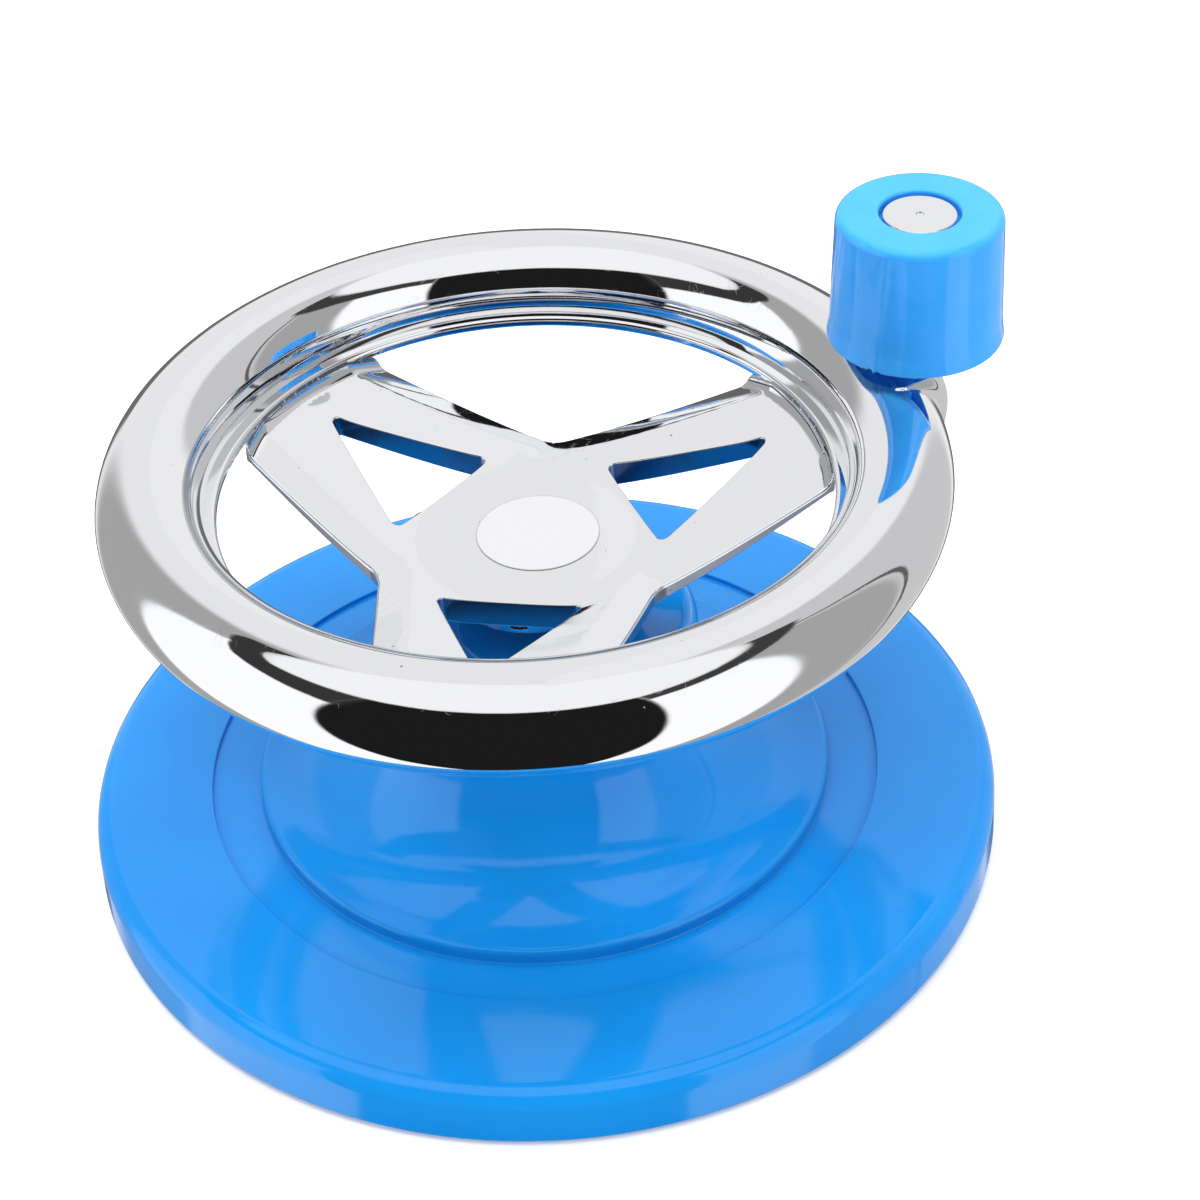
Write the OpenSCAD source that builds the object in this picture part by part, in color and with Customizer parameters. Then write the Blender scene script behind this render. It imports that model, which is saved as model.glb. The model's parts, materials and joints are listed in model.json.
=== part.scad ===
// Hand-cranked ball inflation pump: a chromed crank wheel on a bell-shaped blue
// stand. The wheel turns a geared pair of two-lobed rotors that sit in the base
// and blow air through an outlet at the back.
// +Z is up, the wheel turns about Z, and +X runs through the crank knob.

/* [Stand] */
// Radius of the stand at its foot
stand_r = 149; // [146:1:180]
// Height of the flat outer ring of the stand
stand_h = 20; // [19:0.5:26]
// Gap between the skirt's lower edge and the ground
skirt_lift = 1.5; // [0.5:0.5:2.5]
// How much the skirt leans in towards its top
skirt_draft = 0.7; // [0:0.1:2]
// Rounding of the skirt's top edge
skirt_round = 7; // [4:0.5:8]
// Width of the flat outer ring
ring_w = 39; // [30:1:42]
// Width of the shallow channel inside it
channel_w = 16; // [8:1:18]
// Depth of the channel below the outer ring
channel_drop = 1.7; // [1:0.1:2.2]
// Rise from the channel up to the bell's floor
step_rise = 5; // [4:0.5:9]
// Rounding of the step's top edge
step_round = 2; // [1:0.5:3]
// Radius of the concave sweep between floor and neck
bell_sweep = 36; // [30:1:38]
// Radius of the neck where the sweep ends
neck_r = 52; // [50:1:56]
// Height of the top of the stand
neck_h = 84; // [78:1:90]
// Radius of the top of the stand, over its rounded edge
neck_top_r = 49; // [44:1:50]
// Rounding of the top edge
neck_round = 3.5; // [2:0.5:5]
// Wall of the moulded stand
stand_wall = 2.6; // [2:0.1:2.8]

/* [Base plate and feet] */
// Thickness of the base plate
plate_t = 3; // [2.5:0.5:5]
// Height of the rubber feet
foot_h = 3; // [2:0.5:6]
// Radius of a rubber foot
foot_r = 12; // [8:1:16]
// Distance of the outer feet from the axis
foot_circle = 100; // [80:1:110]
// Number of outer feet
feet = 4; // [3:1:6]
// Number of screws that hold the plate
plate_screws = 6; // [3:1:8]
// Distance of those screws from the stand's edge
plate_screw_in = 22; // [17:1:27]

/* [Crank wheel] */
// Radius of the wheel over its rim
wheel_r = 130; // [120:1:150]
// Thickness of the rim's tube
rim_d = 32; // [28:1:36]
// Wall of the rim's tube
rim_wall = 2.5; // [1.5:0.5:4]
// How far the lip that the web joins stands in from the rim
lip_reach = 3.5; // [2:0.5:8]
// Height of that lip
lip_h = 11; // [8:0.5:12]
// How far the lip's top lies below the rim's centre
lip_drop = 4.5; // [3:0.5:6]
// Height of the rim's centre above the stand
rim_rise = 51; // [46:1:76]
// Number of spokes
spokes = 3; // [3:1:3]
// Turn of the spokes from the crank knob
spoke_turn = 3; // [0:1:20]
// How far the flat hub lies below the rim's centre
hub_drop = 23.5; // [20:0.5:30]
// Radius of the flat hub
hub_r = 38; // [30:1:44]
// Thickness of the wheel's web at the hub
web_t = 9; // [6:0.5:12]
// Thickness of the wheel's web at the rim
web_tip_t = 6; // [4:0.5:8]
// Height of the web's outer edge above the hub
web_rise = 14.5; // [10:0.5:18]
// Nearest distance of the open gaps from the axis
gap_in = 50; // [46:0.5:56]
// Rounding of a gap's inner end
gap_round = 12; // [6:1:16]
// Half-angle between a gap's sides
gap_half_angle = 70; // [60:1:74]
// Distance of a window's wide side from the axis
window_in = 35; // [30:0.5:40]
// Web left between a window's tip and the rim's lip
window_tip = 11.5; // [8:0.5:24]
// Half of a window's wide side
window_half = 22.6; // [15:0.1:24]
// Rounding of a window's corners
window_round = 2; // [1:0.5:3]
// Radius of the boss under the hub
boss_r = 25; // [18:1:30]
// Height of the boss's lower end above the stand
boss_gap = 7; // [6:0.5:9]
// Radius of the round label
label_r = 19.25; // [10:0.25:24]
// Thickness of the round label
label_t = 0.3; // [0.2:0.1:0.6]
// How far off the axis the label was stuck, along X
label_x = 2.7; // [-4:0.1:4]
// How far off the axis the label was stuck, along Y
label_y = -0.8; // [-4:0.1:4]

/* [Crank knob] */
// How far the knob's axis lies outside the middle of the rim's tube
knob_out = 15; // [12:0.5:20]
// Radius of the knob near its foot
knob_r = 26.8; // [22:0.1:30]
// How much narrower the knob is at its top
knob_taper = 1.2; // [0:0.1:3]
// Height of the knob
knob_h = 42.6; // [36:0.2:60]
// Rounding of the knob's top edge
knob_round = 2.8; // [2:0.1:6]
// Extra radius of the flared foot
knob_flare = 0.8; // [0:0.1:1.5]
// Wall of the hollow knob
knob_wall = 3; // [2:0.5:4]
// Radius of the pin's head
pin_head_r = 11.4; // [8:0.1:13]
// Thickness of the pin's head
pin_head_t = 2.6; // [2:0.1:4]
// Radius of the pin that the knob turns on
pin_r = 6; // [4:0.5:8]
// Radius of the lug around the pin
lug_r = 18; // [14:1:22]
// Height of the lug
lug_h = 29; // [16:1:30]
// Half-width of the lug where it leaves the rim
lug_root = 25; // [20:1:30]

/* [Drive] */
// Radius of the main shaft
shaft_r = 7; // [6:0.5:8]
// Module of all gears
gear_module = 1.2; // [1.2:0.05:1.4]
// Teeth of the bull gear on the main shaft
bull_teeth = 60; // [56:1:64]
// Teeth of the pinion
pinion_teeth = 15; // [14:1:18]
// Width of the bull gear and the pinion
gear_face = 6; // [4:0.5:7]
// Width of the timing gears
timing_face = 4.5; // [3:0.5:5]
// Width of the key in the bull gear
key_w = 4; // [3:0.5:5]

/* [Blower] */
// Teeth of each timing gear, which set how far apart the rotors are
timing_teeth = 25; // [23:1:26]
// Height of the rotors
rotor_h = 8; // [6:0.5:9]
// Radius of a rotor's shaft
rotor_shaft_r = 4; // [3:0.5:5]
// Wall of the blower's housing
case_wall = 4; // [4:0.5:5]
// Thickness of the housing's floor
case_floor = 4; // [3:0.5:5]
// Thickness of the housing's cover
cover_t = 3; // [2:0.5:4]
// Radius of the port that the air leaves by
port_r = 1.9; // [1:0.1:2]
// Radius of the threaded socket for a hose or ball needle
socket_r = 3.85; // [3:0.05:4]
// Depth of that socket
socket_l = 12; // [8:1:14]

/* [Fits] */
// Radial clearance of a shaft that turns in its bore
run_fit = 0.05; // [0.02:0.01:0.1]
// Gap between faces that turn past each other
face_gap = 0.3; // [0.2:0.05:0.6]
// Gap between the rotors and what they pass
rotor_gap = 0.12; // [0.08:0.02:0.3]
// Play on each flank of the gear teeth
backlash = 0.07; // [0.04:0.01:0.12]

/* [Hidden] */
$fn = 96;

// Colours
blue = [0.13, 0.55, 0.93];
chrome = [0.82, 0.83, 0.85];
steel = [0.62, 0.64, 0.67];
zinc = [0.74, 0.76, 0.78];
bronze = [0.72, 0.52, 0.28];
brass = [0.80, 0.66, 0.32];
rubber = [0.13, 0.13, 0.14];
nylon = [0.93, 0.92, 0.88];
black = [0.10, 0.11, 0.13];
alloy = [0.70, 0.72, 0.74];
white = [0.95, 0.95, 0.95];

// Cuts run this far past the faces they open
past = 1;

// Levels, from the ground up
plate_z = foot_h;
plate_top = plate_z + plate_t;
case_z = plate_top;
rotor_z = case_z + case_floor;
case_top = rotor_z + rotor_h;
gasket_t = 0.4;
cover_z = case_top + gasket_t;
cover_top = cover_z + cover_t;
timing_z = cover_top + 1;
gear_z = timing_z + timing_face + 1.5;
channel_r = stand_r - ring_w;
step_r = channel_r - channel_w;
ring_in_z = stand_h - channel_drop;
floor_z = ring_in_z + step_rise;
sweep_r = min(bell_sweep, step_r - step_round - neck_r);
sweep_z = floor_z + sweep_r;
rim_z = neck_h + rim_rise;
hub_z = rim_z - hub_drop;
rim_top = rim_z + rim_d / 2;
boss_z = neck_h + boss_gap;

// Stand
sweep_x = neck_r + sweep_r;
skirt_in = stand_r - stand_wall;
plate_gap = 0.6;
plate_r = skirt_in - plate_gap;
plate_screw_circle = stand_r - plate_screw_in;
screw_boss_r = 5;
screw_r = 2;
screw_head_r = 3.8;
screw_head_h = 1.6;
screw_grip = 7;
screw_depth = 8;
foot_pip_r = 3;
rib_t = 2;
rib_turn = 6;

// Bearings of the main shaft
bush_wall = 4;
bush_r = shaft_r + bush_wall;
flange_t = 2.5;
flange_r = bush_r + 4;
top_bush_l = 22;
sleeve_wall = 4;
low_boss_h = 14;
low_boss_wall = 3;
thrust_t = 1.5;
low_bush_z = plate_top + thrust_t + 0.5;
low_boss_top = plate_top + low_boss_h;
clip_t = 1.4;
clip_r = shaft_r + 3.5;
shaft_end_z = plate_top + thrust_t;

// Wheel
rim_c = wheel_r - rim_d / 2;
rim_in_r = rim_c - rim_d / 2;
lip_bite = 4.5;
lip_in_r = rim_in_r - lip_reach;
lip_out_r = rim_in_r + lip_bite;
lip_z = rim_z - lip_drop - lip_h;
vent_r = 1.5;
web_slope_r = lip_in_r - 1;
window_out = lip_in_r - window_tip;
hub_screw_r = 2.5;
hub_screw_l = 10;
hub_screw_z = boss_z + 7;
shaft_cap = 4;
shaft_seat_top = hub_z - shaft_cap;
hub_screw_turn = 180 / spokes + spoke_turn + 180;

// Knob
knob_x = rim_c + knob_out;
knob_top_r = knob_r - knob_taper;
washer_t = 2.2;
lug_proud = 0.5;
lug_top = rim_top + lug_proud;
knob_z = lug_top + washer_t + face_gap;
knob_top = knob_z + knob_h;
pin_sink = 0.8;
head_room = 1.1;
head_room_r = pin_head_r + head_room;
head_seat = knob_top - pin_sink - pin_head_t;
thread_r = pin_r - 2;
lug_bevel = 5;

// Gears and rotors
pressure = 25;
gear_gap = gear_module * (bull_teeth + pinion_teeth) / 2;
rotor_pitch = gear_module * timing_teeth / 2;
rotor_tip = 1.5 * rotor_pitch;
rotor_y = sqrt(gear_gap * gear_gap - rotor_pitch * rotor_pitch);
mesh_angle = atan2(rotor_y, rotor_pitch);
case_bore = rotor_tip + rotor_gap;
case_r = case_bore + case_wall;
case_screw_r = 1.3;
case_screw_circle = case_bore + case_wall / 2;
rotor_shaft_z = case_z + 1;
rotor_shaft_top = gear_z + gear_face + 1.5;
gear_hub_r = shaft_r + 7;
gear_hub_h = 5;
gear_hole_r = 5.5;
gear_hole_x = 24;
key_l = gear_face;

// Air path
socket_body_r = socket_r + 1.45;
socket_root = 4;
socket_gap = 0.6;
air_z = plate_top + socket_body_r + socket_gap;
tube_in = port_r + 0.6;
tube_r = tube_in + 1;
spigot_l = 8;
case_front = rotor_y + case_r;
neck_len = 3;
tube_y = case_front + neck_len;
socket_proud = 1;
socket_y = stand_r + socket_proud - socket_l - socket_root;
screen_y = rotor_y - sqrt(case_bore * case_bore - rotor_pitch * rotor_pitch) + 4.5;
screen_r = 6;
screen_t = 1;
screen_seat = 2;

// Points of an arc from angle a to angle b
function arc(c, r, a, b, n = 10) =
    [for (i = [0 : n]) c + r * [cos(a + (b - a) * i / n), sin(a + (b - a) * i / n)]];

function inv(a) = tan(a) * 180 / PI - a;

// Half of a tooth's angle at radius r, for a gear of n teeth
function tooth_half(n, r) =
    let (pr = gear_module * n / 2, br = pr * cos(pressure))
    90 / n - backlash / pr * 180 / PI + inv(pressure) - inv(acos(min(1, br / r)));

// Outline of a gear with a tooth centred on +X
function gear_points(n) =
    let (
        pr = gear_module * n / 2,
        br = pr * cos(pressure),
        tip = pr + gear_module,
        root = pr - 1.3 * gear_module,
        low = max(br, root + 0.1),
        steps = 4,
        radii = [for (i = [0 : steps]) low + (tip - low) * i / steps]
    )
    [for (k = [0 : n - 1]) let (a = 360 * k / n)
        for (p = concat(
            [[root, -tooth_half(n, low)]],
            [for (r = radii) [r, -tooth_half(n, r)]],
            [for (i = [steps : -1 : 0]) [radii[i], tooth_half(n, radii[i])]],
            [[root, tooth_half(n, low)]]))
        p[0] * [cos(a + p[1]), sin(a + p[1])]];

// One lobe of a rotor: a circle of a quarter of the pitch circle rolls outside it
function lobe_point(t) =
    let (g = rotor_pitch / 4)
    [5 * g * cos(t) - g * cos(5 * t), 5 * g * sin(t) - g * sin(5 * t)]
        - rotor_gap * [sin(3 * t), -cos(3 * t)];

// One waist of a rotor: the same circle rolls inside
function waist_point(t) =
    let (g = rotor_pitch / 4)
    [3 * g * cos(t) + g * cos(3 * t), 3 * g * sin(t) - g * sin(3 * t)]
        - rotor_gap * [sin(t), cos(t)];

function turned(p, a) = [p[0] * cos(a) - p[1] * sin(a), p[0] * sin(a) + p[1] * cos(a)];

// Outline of a two-lobed rotor with its lobes along X
rotor_points = let (n = 12)
    [for (half = [0, 180])
        for (p = concat(
            [for (i = [0 : n - 1]) turned(lobe_point(90 * i / n), half - 45)],
            [for (i = [0 : n - 1]) turned(waist_point(90 * i / n), half + 45)]))
        p];

// A ring or a bushing
module ring(r_out, r_in, h) {
    difference() {
        cylinder(r = r_out, h = h);
        translate([0, 0, -past]) cylinder(r = r_in, h = h + 2 * past);
    }
}

// Direction of the outward normal of an edge, for points that run anticlockwise
function edge_normal(a, b) = atan2(a[0] - b[0], b[1] - a[1]);

// A triangle with rounded corners, from the centres of its corner circles
function round_triangle(c, r) =
    [for (i = [0 : 2])
        let (
            from = edge_normal(c[(i + 2) % 3], c[i]),
            to = edge_normal(c[i], c[(i + 1) % 3]))
        for (p = arc(c[i], r, from, to < from ? to + 360 : to, 6)) p];

module at_rotor(side) {
    translate([side * rotor_pitch, rotor_y, 0]) children();
}

// A pan-head screw, head upwards, from its seat down
module pan_screw(r, head_r, head_h, length) {
    difference() {
        union() {
            translate([0, 0, -length]) cylinder(r = r, h = length, $fn = 32);
            cylinder(r = head_r, h = head_h, $fn = 48);
        }
        for (a = [0, 90])
            rotate(a) translate([-head_r * 0.6, -0.4, head_h * 0.4]) cube([head_r * 1.2, 0.8, head_h]);
    }
}

// ---- Stand ----

// Outer face of the moulded stand, from its foot to its top
stand_outside = concat(
    [[stand_r, skirt_lift]],
    arc([stand_r - skirt_draft - skirt_round, stand_h - skirt_round], skirt_round, 0, 90),
    [[channel_r, stand_h], [channel_r, ring_in_z], [step_r, ring_in_z]],
    arc([step_r - step_round, floor_z - step_round], step_round, 0, 90, 5),
    arc([sweep_x, sweep_z], sweep_r, 270, 180, 18),
    arc([neck_top_r - neck_round, neck_h - neck_round], neck_round, 0, 90, 6));

// Inner face, from the top back to the foot
stand_inside = concat(
    [[bush_r, neck_h], [bush_r, neck_h - top_bush_l]],
    [[bush_r + sleeve_wall, neck_h - top_bush_l], [bush_r + sleeve_wall, neck_h - stand_wall]],
    [[neck_top_r - neck_round, neck_h - stand_wall]],
    arc([sweep_x, sweep_z], sweep_r + stand_wall, 180, 270, 18),
    [[step_r - stand_wall, floor_z - stand_wall], [step_r - stand_wall, ring_in_z - stand_wall]],
    [[channel_r + stand_wall, ring_in_z - stand_wall], [channel_r + stand_wall, stand_h - stand_wall]],
    arc([stand_r - skirt_draft - skirt_round, stand_h - skirt_round],
        skirt_round - stand_wall, 90, 0, 6),
    [[skirt_in, skirt_lift]]);

module plate_screw_places() {
    for (i = [0 : plate_screws - 1])
        rotate(360 * i / plate_screws) translate([plate_screw_circle, 0, 0]) children();
}

module pedestal_shell() {
    color(blue) difference() {
        union() {
            rotate_extrude($fn = 180) polygon(concat(stand_outside, stand_inside));
            plate_screw_places() translate([0, 0, plate_top])
                cylinder(r = screw_boss_r, h = stand_h - stand_wall / 2 - plate_top);
            for (i = [0 : plate_screws - 1])
                rotate(360 * (i + 0.5) / plate_screws + rib_turn)
                    translate([channel_r + stand_wall / 2, -rib_t / 2, plate_top + face_gap])
                        cube([skirt_in - channel_r, rib_t, stand_h - stand_wall / 2 - plate_top - face_gap]);
        }
        plate_screw_places() translate([0, 0, plate_top - past])
            cylinder(r = screw_r, h = screw_depth + past, $fn = 32);
        translate([0, socket_y - past, air_z]) rotate([-90, 0, 0])
            cylinder(r = socket_body_r, h = stand_r - socket_y + 2 * past);
    }
}

module base_plate() {
    color(black) difference() {
        union() {
            translate([0, 0, plate_z]) cylinder(r = plate_r, h = plate_t, $fn = 180);
            translate([0, 0, plate_top]) cylinder(r = bush_r + low_boss_wall, h = low_boss_h);
        }
        translate([0, 0, plate_top]) cylinder(r = bush_r, h = low_boss_h + past);
        plate_screw_places() translate([0, 0, plate_z - past])
            cylinder(r = screw_r, h = plate_t + 2 * past, $fn = 32);
        for (i = [0 : feet]) foot_place(i) translate([0, 0, -past])
            cylinder(r = foot_pip_r, h = plate_t + past, $fn = 32);
        translate([0, screen_y, plate_z - past]) cylinder(r = screen_r, h = plate_t + 2 * past);
        case_screw_places() translate([0, 0, plate_z - past])
            cylinder(r = case_screw_r, h = plate_t + 2 * past, $fn = 24);
    }
}

// The last foot sits in the middle, under the bearing
module foot_place(i) {
    if (i < feet)
        rotate(360 * (i + 0.5) / feet) translate([foot_circle, 0, plate_z]) children();
    else
        translate([0, 0, plate_z]) children();
}

module foot(i) {
    color(rubber) foot_place(i) {
        translate([0, 0, -foot_h]) cylinder(r1 = foot_r, r2 = foot_r - 1, h = foot_h, $fn = 64);
        cylinder(r = foot_pip_r, h = plate_t - 1, $fn = 32);
    }
}

module plate_screw(i) {
    color(zinc) rotate(360 * i / plate_screws)
        translate([plate_screw_circle, 0, plate_z]) mirror([0, 0, 1])
            pan_screw(screw_r, screw_head_r, screw_head_h, plate_t + screw_grip);
}

module top_bush() {
    color(bronze) {
        translate([0, 0, neck_h - top_bush_l]) ring(bush_r, shaft_r + run_fit, top_bush_l);
        translate([0, 0, neck_h]) ring(flange_r, shaft_r + run_fit, flange_t);
    }
}

module low_bush() {
    color(bronze) translate([0, 0, low_bush_z])
        ring(bush_r, shaft_r + run_fit, low_boss_top - low_bush_z);
}

module thrust_disc() {
    color(nylon) translate([0, 0, plate_top]) cylinder(r = bush_r, h = thrust_t - face_gap / 2);
}

// ---- Blower ----

module case_screw_places() {
    for (i = [0 : 5]) case_screw_place(i) children();
}

module case_screw_place(i) {
    side = i < 3 ? 1 : -1;
    at_rotor(side) rotate(side > 0 ? (i - 1) * 60 : 180 + (i - 4) * 60)
        translate([case_screw_circle, 0, 0]) children();
}

module case_plan(r) {
    for (side = [-1, 1]) translate([side * rotor_pitch, rotor_y]) circle(r = r);
}

module case_outline() {
    case_plan(case_r);
    translate([-rotor_pitch, rotor_y - case_r]) square([2 * rotor_pitch, 2 * case_r]);
}

module pump_case() {
    color(alloy) difference() {
        union() {
            translate([0, 0, case_z]) linear_extrude(case_top - case_z) case_outline();
            translate([0, rotor_y, air_z]) rotate([-90, 0, 0])
                cylinder(r = tube_r, h = case_r + neck_len, $fn = 48);
            translate([0, rotor_y, air_z]) rotate([-90, 0, 0])
                cylinder(r = tube_in, h = case_r + neck_len + spigot_l, $fn = 48);
        }
        translate([0, 0, rotor_z]) linear_extrude(rotor_h + past) case_plan(case_bore);
        for (side = [-1, 1]) at_rotor(side) translate([0, 0, rotor_shaft_z])
            cylinder(r = rotor_shaft_r + run_fit, h = case_floor);
        translate([0, rotor_y, air_z]) rotate([-90, 0, 0])
            cylinder(r = port_r, h = case_r + neck_len + spigot_l + past, $fn = 32);
        translate([0, screen_y, case_z - past])
            cylinder(r = screen_r - screen_seat, h = case_top - case_z - screen_seat);
        case_screw_places() translate([0, 0, case_z - past])
            cylinder(r = case_screw_r, h = case_top, $fn = 24);
    }
}

module case_lid(t) {
    difference() {
        linear_extrude(t) case_outline();
        for (side = [-1, 1]) at_rotor(side) translate([0, 0, -past])
            cylinder(r = rotor_shaft_r + run_fit, h = t + 2 * past);
        case_screw_places() translate([0, 0, -past])
            cylinder(r = case_screw_r, h = t + 2 * past, $fn = 24);
    }
}

module pump_cover() {
    color(alloy) translate([0, 0, cover_z]) case_lid(cover_t);
}

// The gasket follows the housing's wall
module case_gasket() {
    color(rubber) translate([0, 0, case_top]) difference() {
        linear_extrude(gasket_t) case_outline();
        translate([0, 0, -past]) linear_extrude(gasket_t + 2 * past) case_plan(case_bore);
        case_screw_places() translate([0, 0, -past])
            cylinder(r = case_screw_r, h = gasket_t + 2 * past, $fn = 24);
    }
}

module cover_screw(i) {
    color(zinc) case_screw_place(i) translate([0, 0, cover_top])
        pan_screw(case_screw_r, 2.3, 1.5, cover_top - plate_z - 0.5);
}

module inlet_screen() {
    color(black) translate([0, screen_y, plate_z + plate_t - screen_t]) difference() {
        cylinder(r = screen_r, h = screen_t);
        for (a = [0 : 60 : 300])
            rotate(a) translate([screen_r * 0.55, 0, -past]) cylinder(r = 1, h = screen_t + 2 * past, $fn = 16);
        translate([0, 0, -past]) cylinder(r = 1, h = screen_t + 2 * past, $fn = 16);
    }
}

module outlet_tube() {
    color(black) translate([0, tube_y, air_z]) rotate([-90, 0, 0])
        ring(tube_r, tube_in, socket_y - tube_y);
}

// Brass socket in the skirt, threaded for a hose or a ball needle
module outlet_socket() {
    color(brass) translate([0, socket_y, air_z]) rotate([-90, 0, 0]) difference() {
        union() {
            cylinder(r = socket_body_r, h = socket_l + socket_root);
            translate([0, 0, -spigot_l]) cylinder(r = tube_in, h = spigot_l + 1, $fn = 48);
        }
        translate([0, 0, socket_root]) cylinder(r = socket_r, h = socket_l + past);
        translate([0, 0, -spigot_l - past])
            cylinder(r = port_r, h = spigot_l + socket_root + 2 * past, $fn = 32);
    }
}

// ---- Crank wheel ----

module lug_plan(inset) {
    translate([knob_x, 0]) circle(r = lug_r - inset);
    polygon([
        [rim_c, -(lug_root - inset)],
        [knob_x + lug_r * 0.3, -(lug_r - inset) * 0.95],
        [knob_x + lug_r * 0.3, (lug_r - inset) * 0.95],
        [rim_c, lug_root - inset]]);
}

module wheel_rim() {
    lug_foot = lug_top - lug_h;
    color(chrome) difference() {
        union() {
            rotate(90) translate([0, 0, rim_z]) rotate_extrude($fn = 180) translate([rim_c, 0])
                difference() {
                    circle(r = rim_d / 2, $fn = 64);
                    circle(r = rim_d / 2 - rim_wall, $fn = 64);
                }
            translate([0, 0, lip_z]) ring(lip_out_r, lip_in_r, lip_h);
            translate([0, 0, lug_foot + lug_bevel]) linear_extrude(lug_h - lug_bevel) lug_plan(0);
            translate([0, 0, lug_foot]) linear_extrude(lug_bevel) lug_plan(lug_bevel * 0.6);
        }
        translate([knob_x, 0, lug_foot - past]) cylinder(r = thread_r, h = lug_h + 2 * past);
        rotate(180) translate([rim_c, 0, rim_z - rim_d]) cylinder(r = vent_r, h = rim_d, $fn = 24);
    }
}

// Places of the corner circles of a window
window_slant = norm([window_out - window_in, window_half]);
window_side_n = [window_half, window_out - window_in] / window_slant;
window_corner_y = window_half
    - (window_round + window_round * window_side_n[0]) / window_side_n[1];
window_tip_x = window_out - window_round / window_side_n[0];

// A window points outwards along +X, and so does a gap
window_points = round_triangle([
    [window_in + window_round, -window_corner_y],
    [window_tip_x, 0],
    [window_in + window_round, window_corner_y]], window_round);

gap_points = let (
    far = 2 * wheel_r,
    ends = arc([gap_in + gap_round, 0], gap_round, 90 + gap_half_angle, 270 - gap_half_angle, 8),
    reach = far * [cos(gap_half_angle), sin(gap_half_angle)])
    concat(ends, [ends[8] + [reach[0], -reach[1]], [2 * far, 0], ends[0] + reach]);

module web_plan() {
    difference() {
        circle(r = lip_in_r, $fn = 180);
        for (k = [0 : spokes - 1]) {
            rotate(spoke_turn + 360 * k / spokes) polygon(window_points);
            rotate(spoke_turn + 360 * (k + 0.5) / spokes) polygon(gap_points);
        }
    }
}

// Section of the dished web; its plan cuts it off at the lip
web_section = [
    [0, hub_z], [hub_r, hub_z], [web_slope_r, hub_z + web_rise], [rim_c, hub_z + web_rise],
    [rim_c, hub_z + web_rise - web_tip_t], [web_slope_r, hub_z + web_rise - web_tip_t],
    [hub_r, hub_z - web_t], [0, hub_z - web_t]];

module wheel_web() {
    color(chrome) difference() {
        union() {
            intersection() {
                rotate_extrude($fn = 180) polygon(web_section);
                translate([0, 0, hub_z - 2 * web_t]) linear_extrude(4 * web_t) web_plan();
            }
            translate([0, 0, boss_z]) cylinder(r = boss_r, h = hub_z - boss_z - web_t / 2);
        }
        translate([0, 0, boss_z - past]) cylinder(r = shaft_r, h = shaft_seat_top - boss_z + past);
        rotate(hub_screw_turn) translate([0, 0, hub_screw_z]) rotate([0, 90, 0])
            cylinder(r = hub_screw_r, h = boss_r + past, $fn = 32);
    }
}

module hub_label() {
    color(white) translate([label_x, label_y, hub_z]) cylinder(r = label_r, h = label_t);
}

// Grub screw with a hexagon socket
module hub_screw() {
    color(black) rotate(hub_screw_turn) translate([shaft_r, 0, hub_screw_z]) rotate([0, 90, 0])
        difference() {
            cylinder(r = hub_screw_r, h = hub_screw_l, $fn = 32);
            translate([0, 0, hub_screw_l - 4]) cylinder(r = hub_screw_r - 1.05, h = 5, $fn = 6);
        }
}

module main_shaft() {
    color(steel) difference() {
        translate([0, 0, shaft_end_z]) cylinder(r = shaft_r, h = shaft_seat_top - shaft_end_z);
        translate([shaft_r - key_w / 2, -key_w / 2, gear_z]) cube([key_w, key_w, key_l]);
    }
}

module shaft_collar() {
    color(steel) translate([0, 0, neck_h + flange_t + face_gap])
        ring(bush_r + 2, shaft_r, boss_gap - flange_t - face_gap);
}

module shaft_clip() {
    color(steel) translate([0, 0, low_boss_top + face_gap]) ring(clip_r, shaft_r, clip_t);
}

module gear_blank(n, h, bore) {
    difference() {
        linear_extrude(h) polygon(gear_points(n));
        translate([0, 0, -past]) cylinder(r = bore, h = h + 2 * past);
    }
}

module bull_gear() {
    color(nylon) difference() {
        union() {
            translate([0, 0, gear_z]) rotate(mesh_angle) linear_extrude(gear_face)
                polygon(gear_points(bull_teeth));
            translate([0, 0, gear_z]) cylinder(r = gear_hub_r, h = gear_face + gear_hub_h);
        }
        translate([0, 0, gear_z - past]) cylinder(r = shaft_r, h = gear_face + gear_hub_h + 2 * past);
        translate([shaft_r - key_w / 2, -key_w / 2, gear_z]) cube([key_w, key_w, key_l]);
        for (a = [45 : 90 : 315])
            rotate(a) translate([gear_hole_x, 0, gear_z - past])
                cylinder(r = gear_hole_r, h = gear_face + 2 * past);
    }
}

module gear_key() {
    color(steel) translate([shaft_r - key_w / 2, -key_w / 2, gear_z]) cube([key_w, key_w, key_l]);
}

// ---- Crank knob ----

module knob() {
    flare_r = knob_r + knob_flare;
    bore = pin_r + run_fit;
    hollow = knob_top_r - knob_wall;
    sleeve = pin_r + 3;
    roof = 6;
    color(blue) translate([knob_x, 0, 0]) rotate_extrude() polygon(concat(
        [[bore, knob_z], [sleeve, knob_z], [sleeve, head_seat - roof]],
        [[hollow, head_seat - roof], [knob_r - knob_wall, knob_z + face_gap], [flare_r, knob_z]],
        [[knob_r, knob_z + 6]],
        arc([knob_top_r - knob_round, knob_top - knob_round], knob_round, 0, 90),
        [[head_room_r + 0.8, knob_top], [head_room_r, knob_top - 0.8]],
        [[head_room_r, head_seat - face_gap], [bore, head_seat - face_gap]]));
}

module knob_pin() {
    color(chrome) translate([knob_x, 0, 0]) {
        translate([0, 0, head_seat]) cylinder(r = pin_head_r, h = pin_head_t);
        translate([0, 0, lug_top]) cylinder(r = pin_r, h = head_seat - lug_top);
        translate([0, 0, lug_top - lug_h + 1]) cylinder(r = thread_r, h = lug_h - 1);
    }
}

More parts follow.
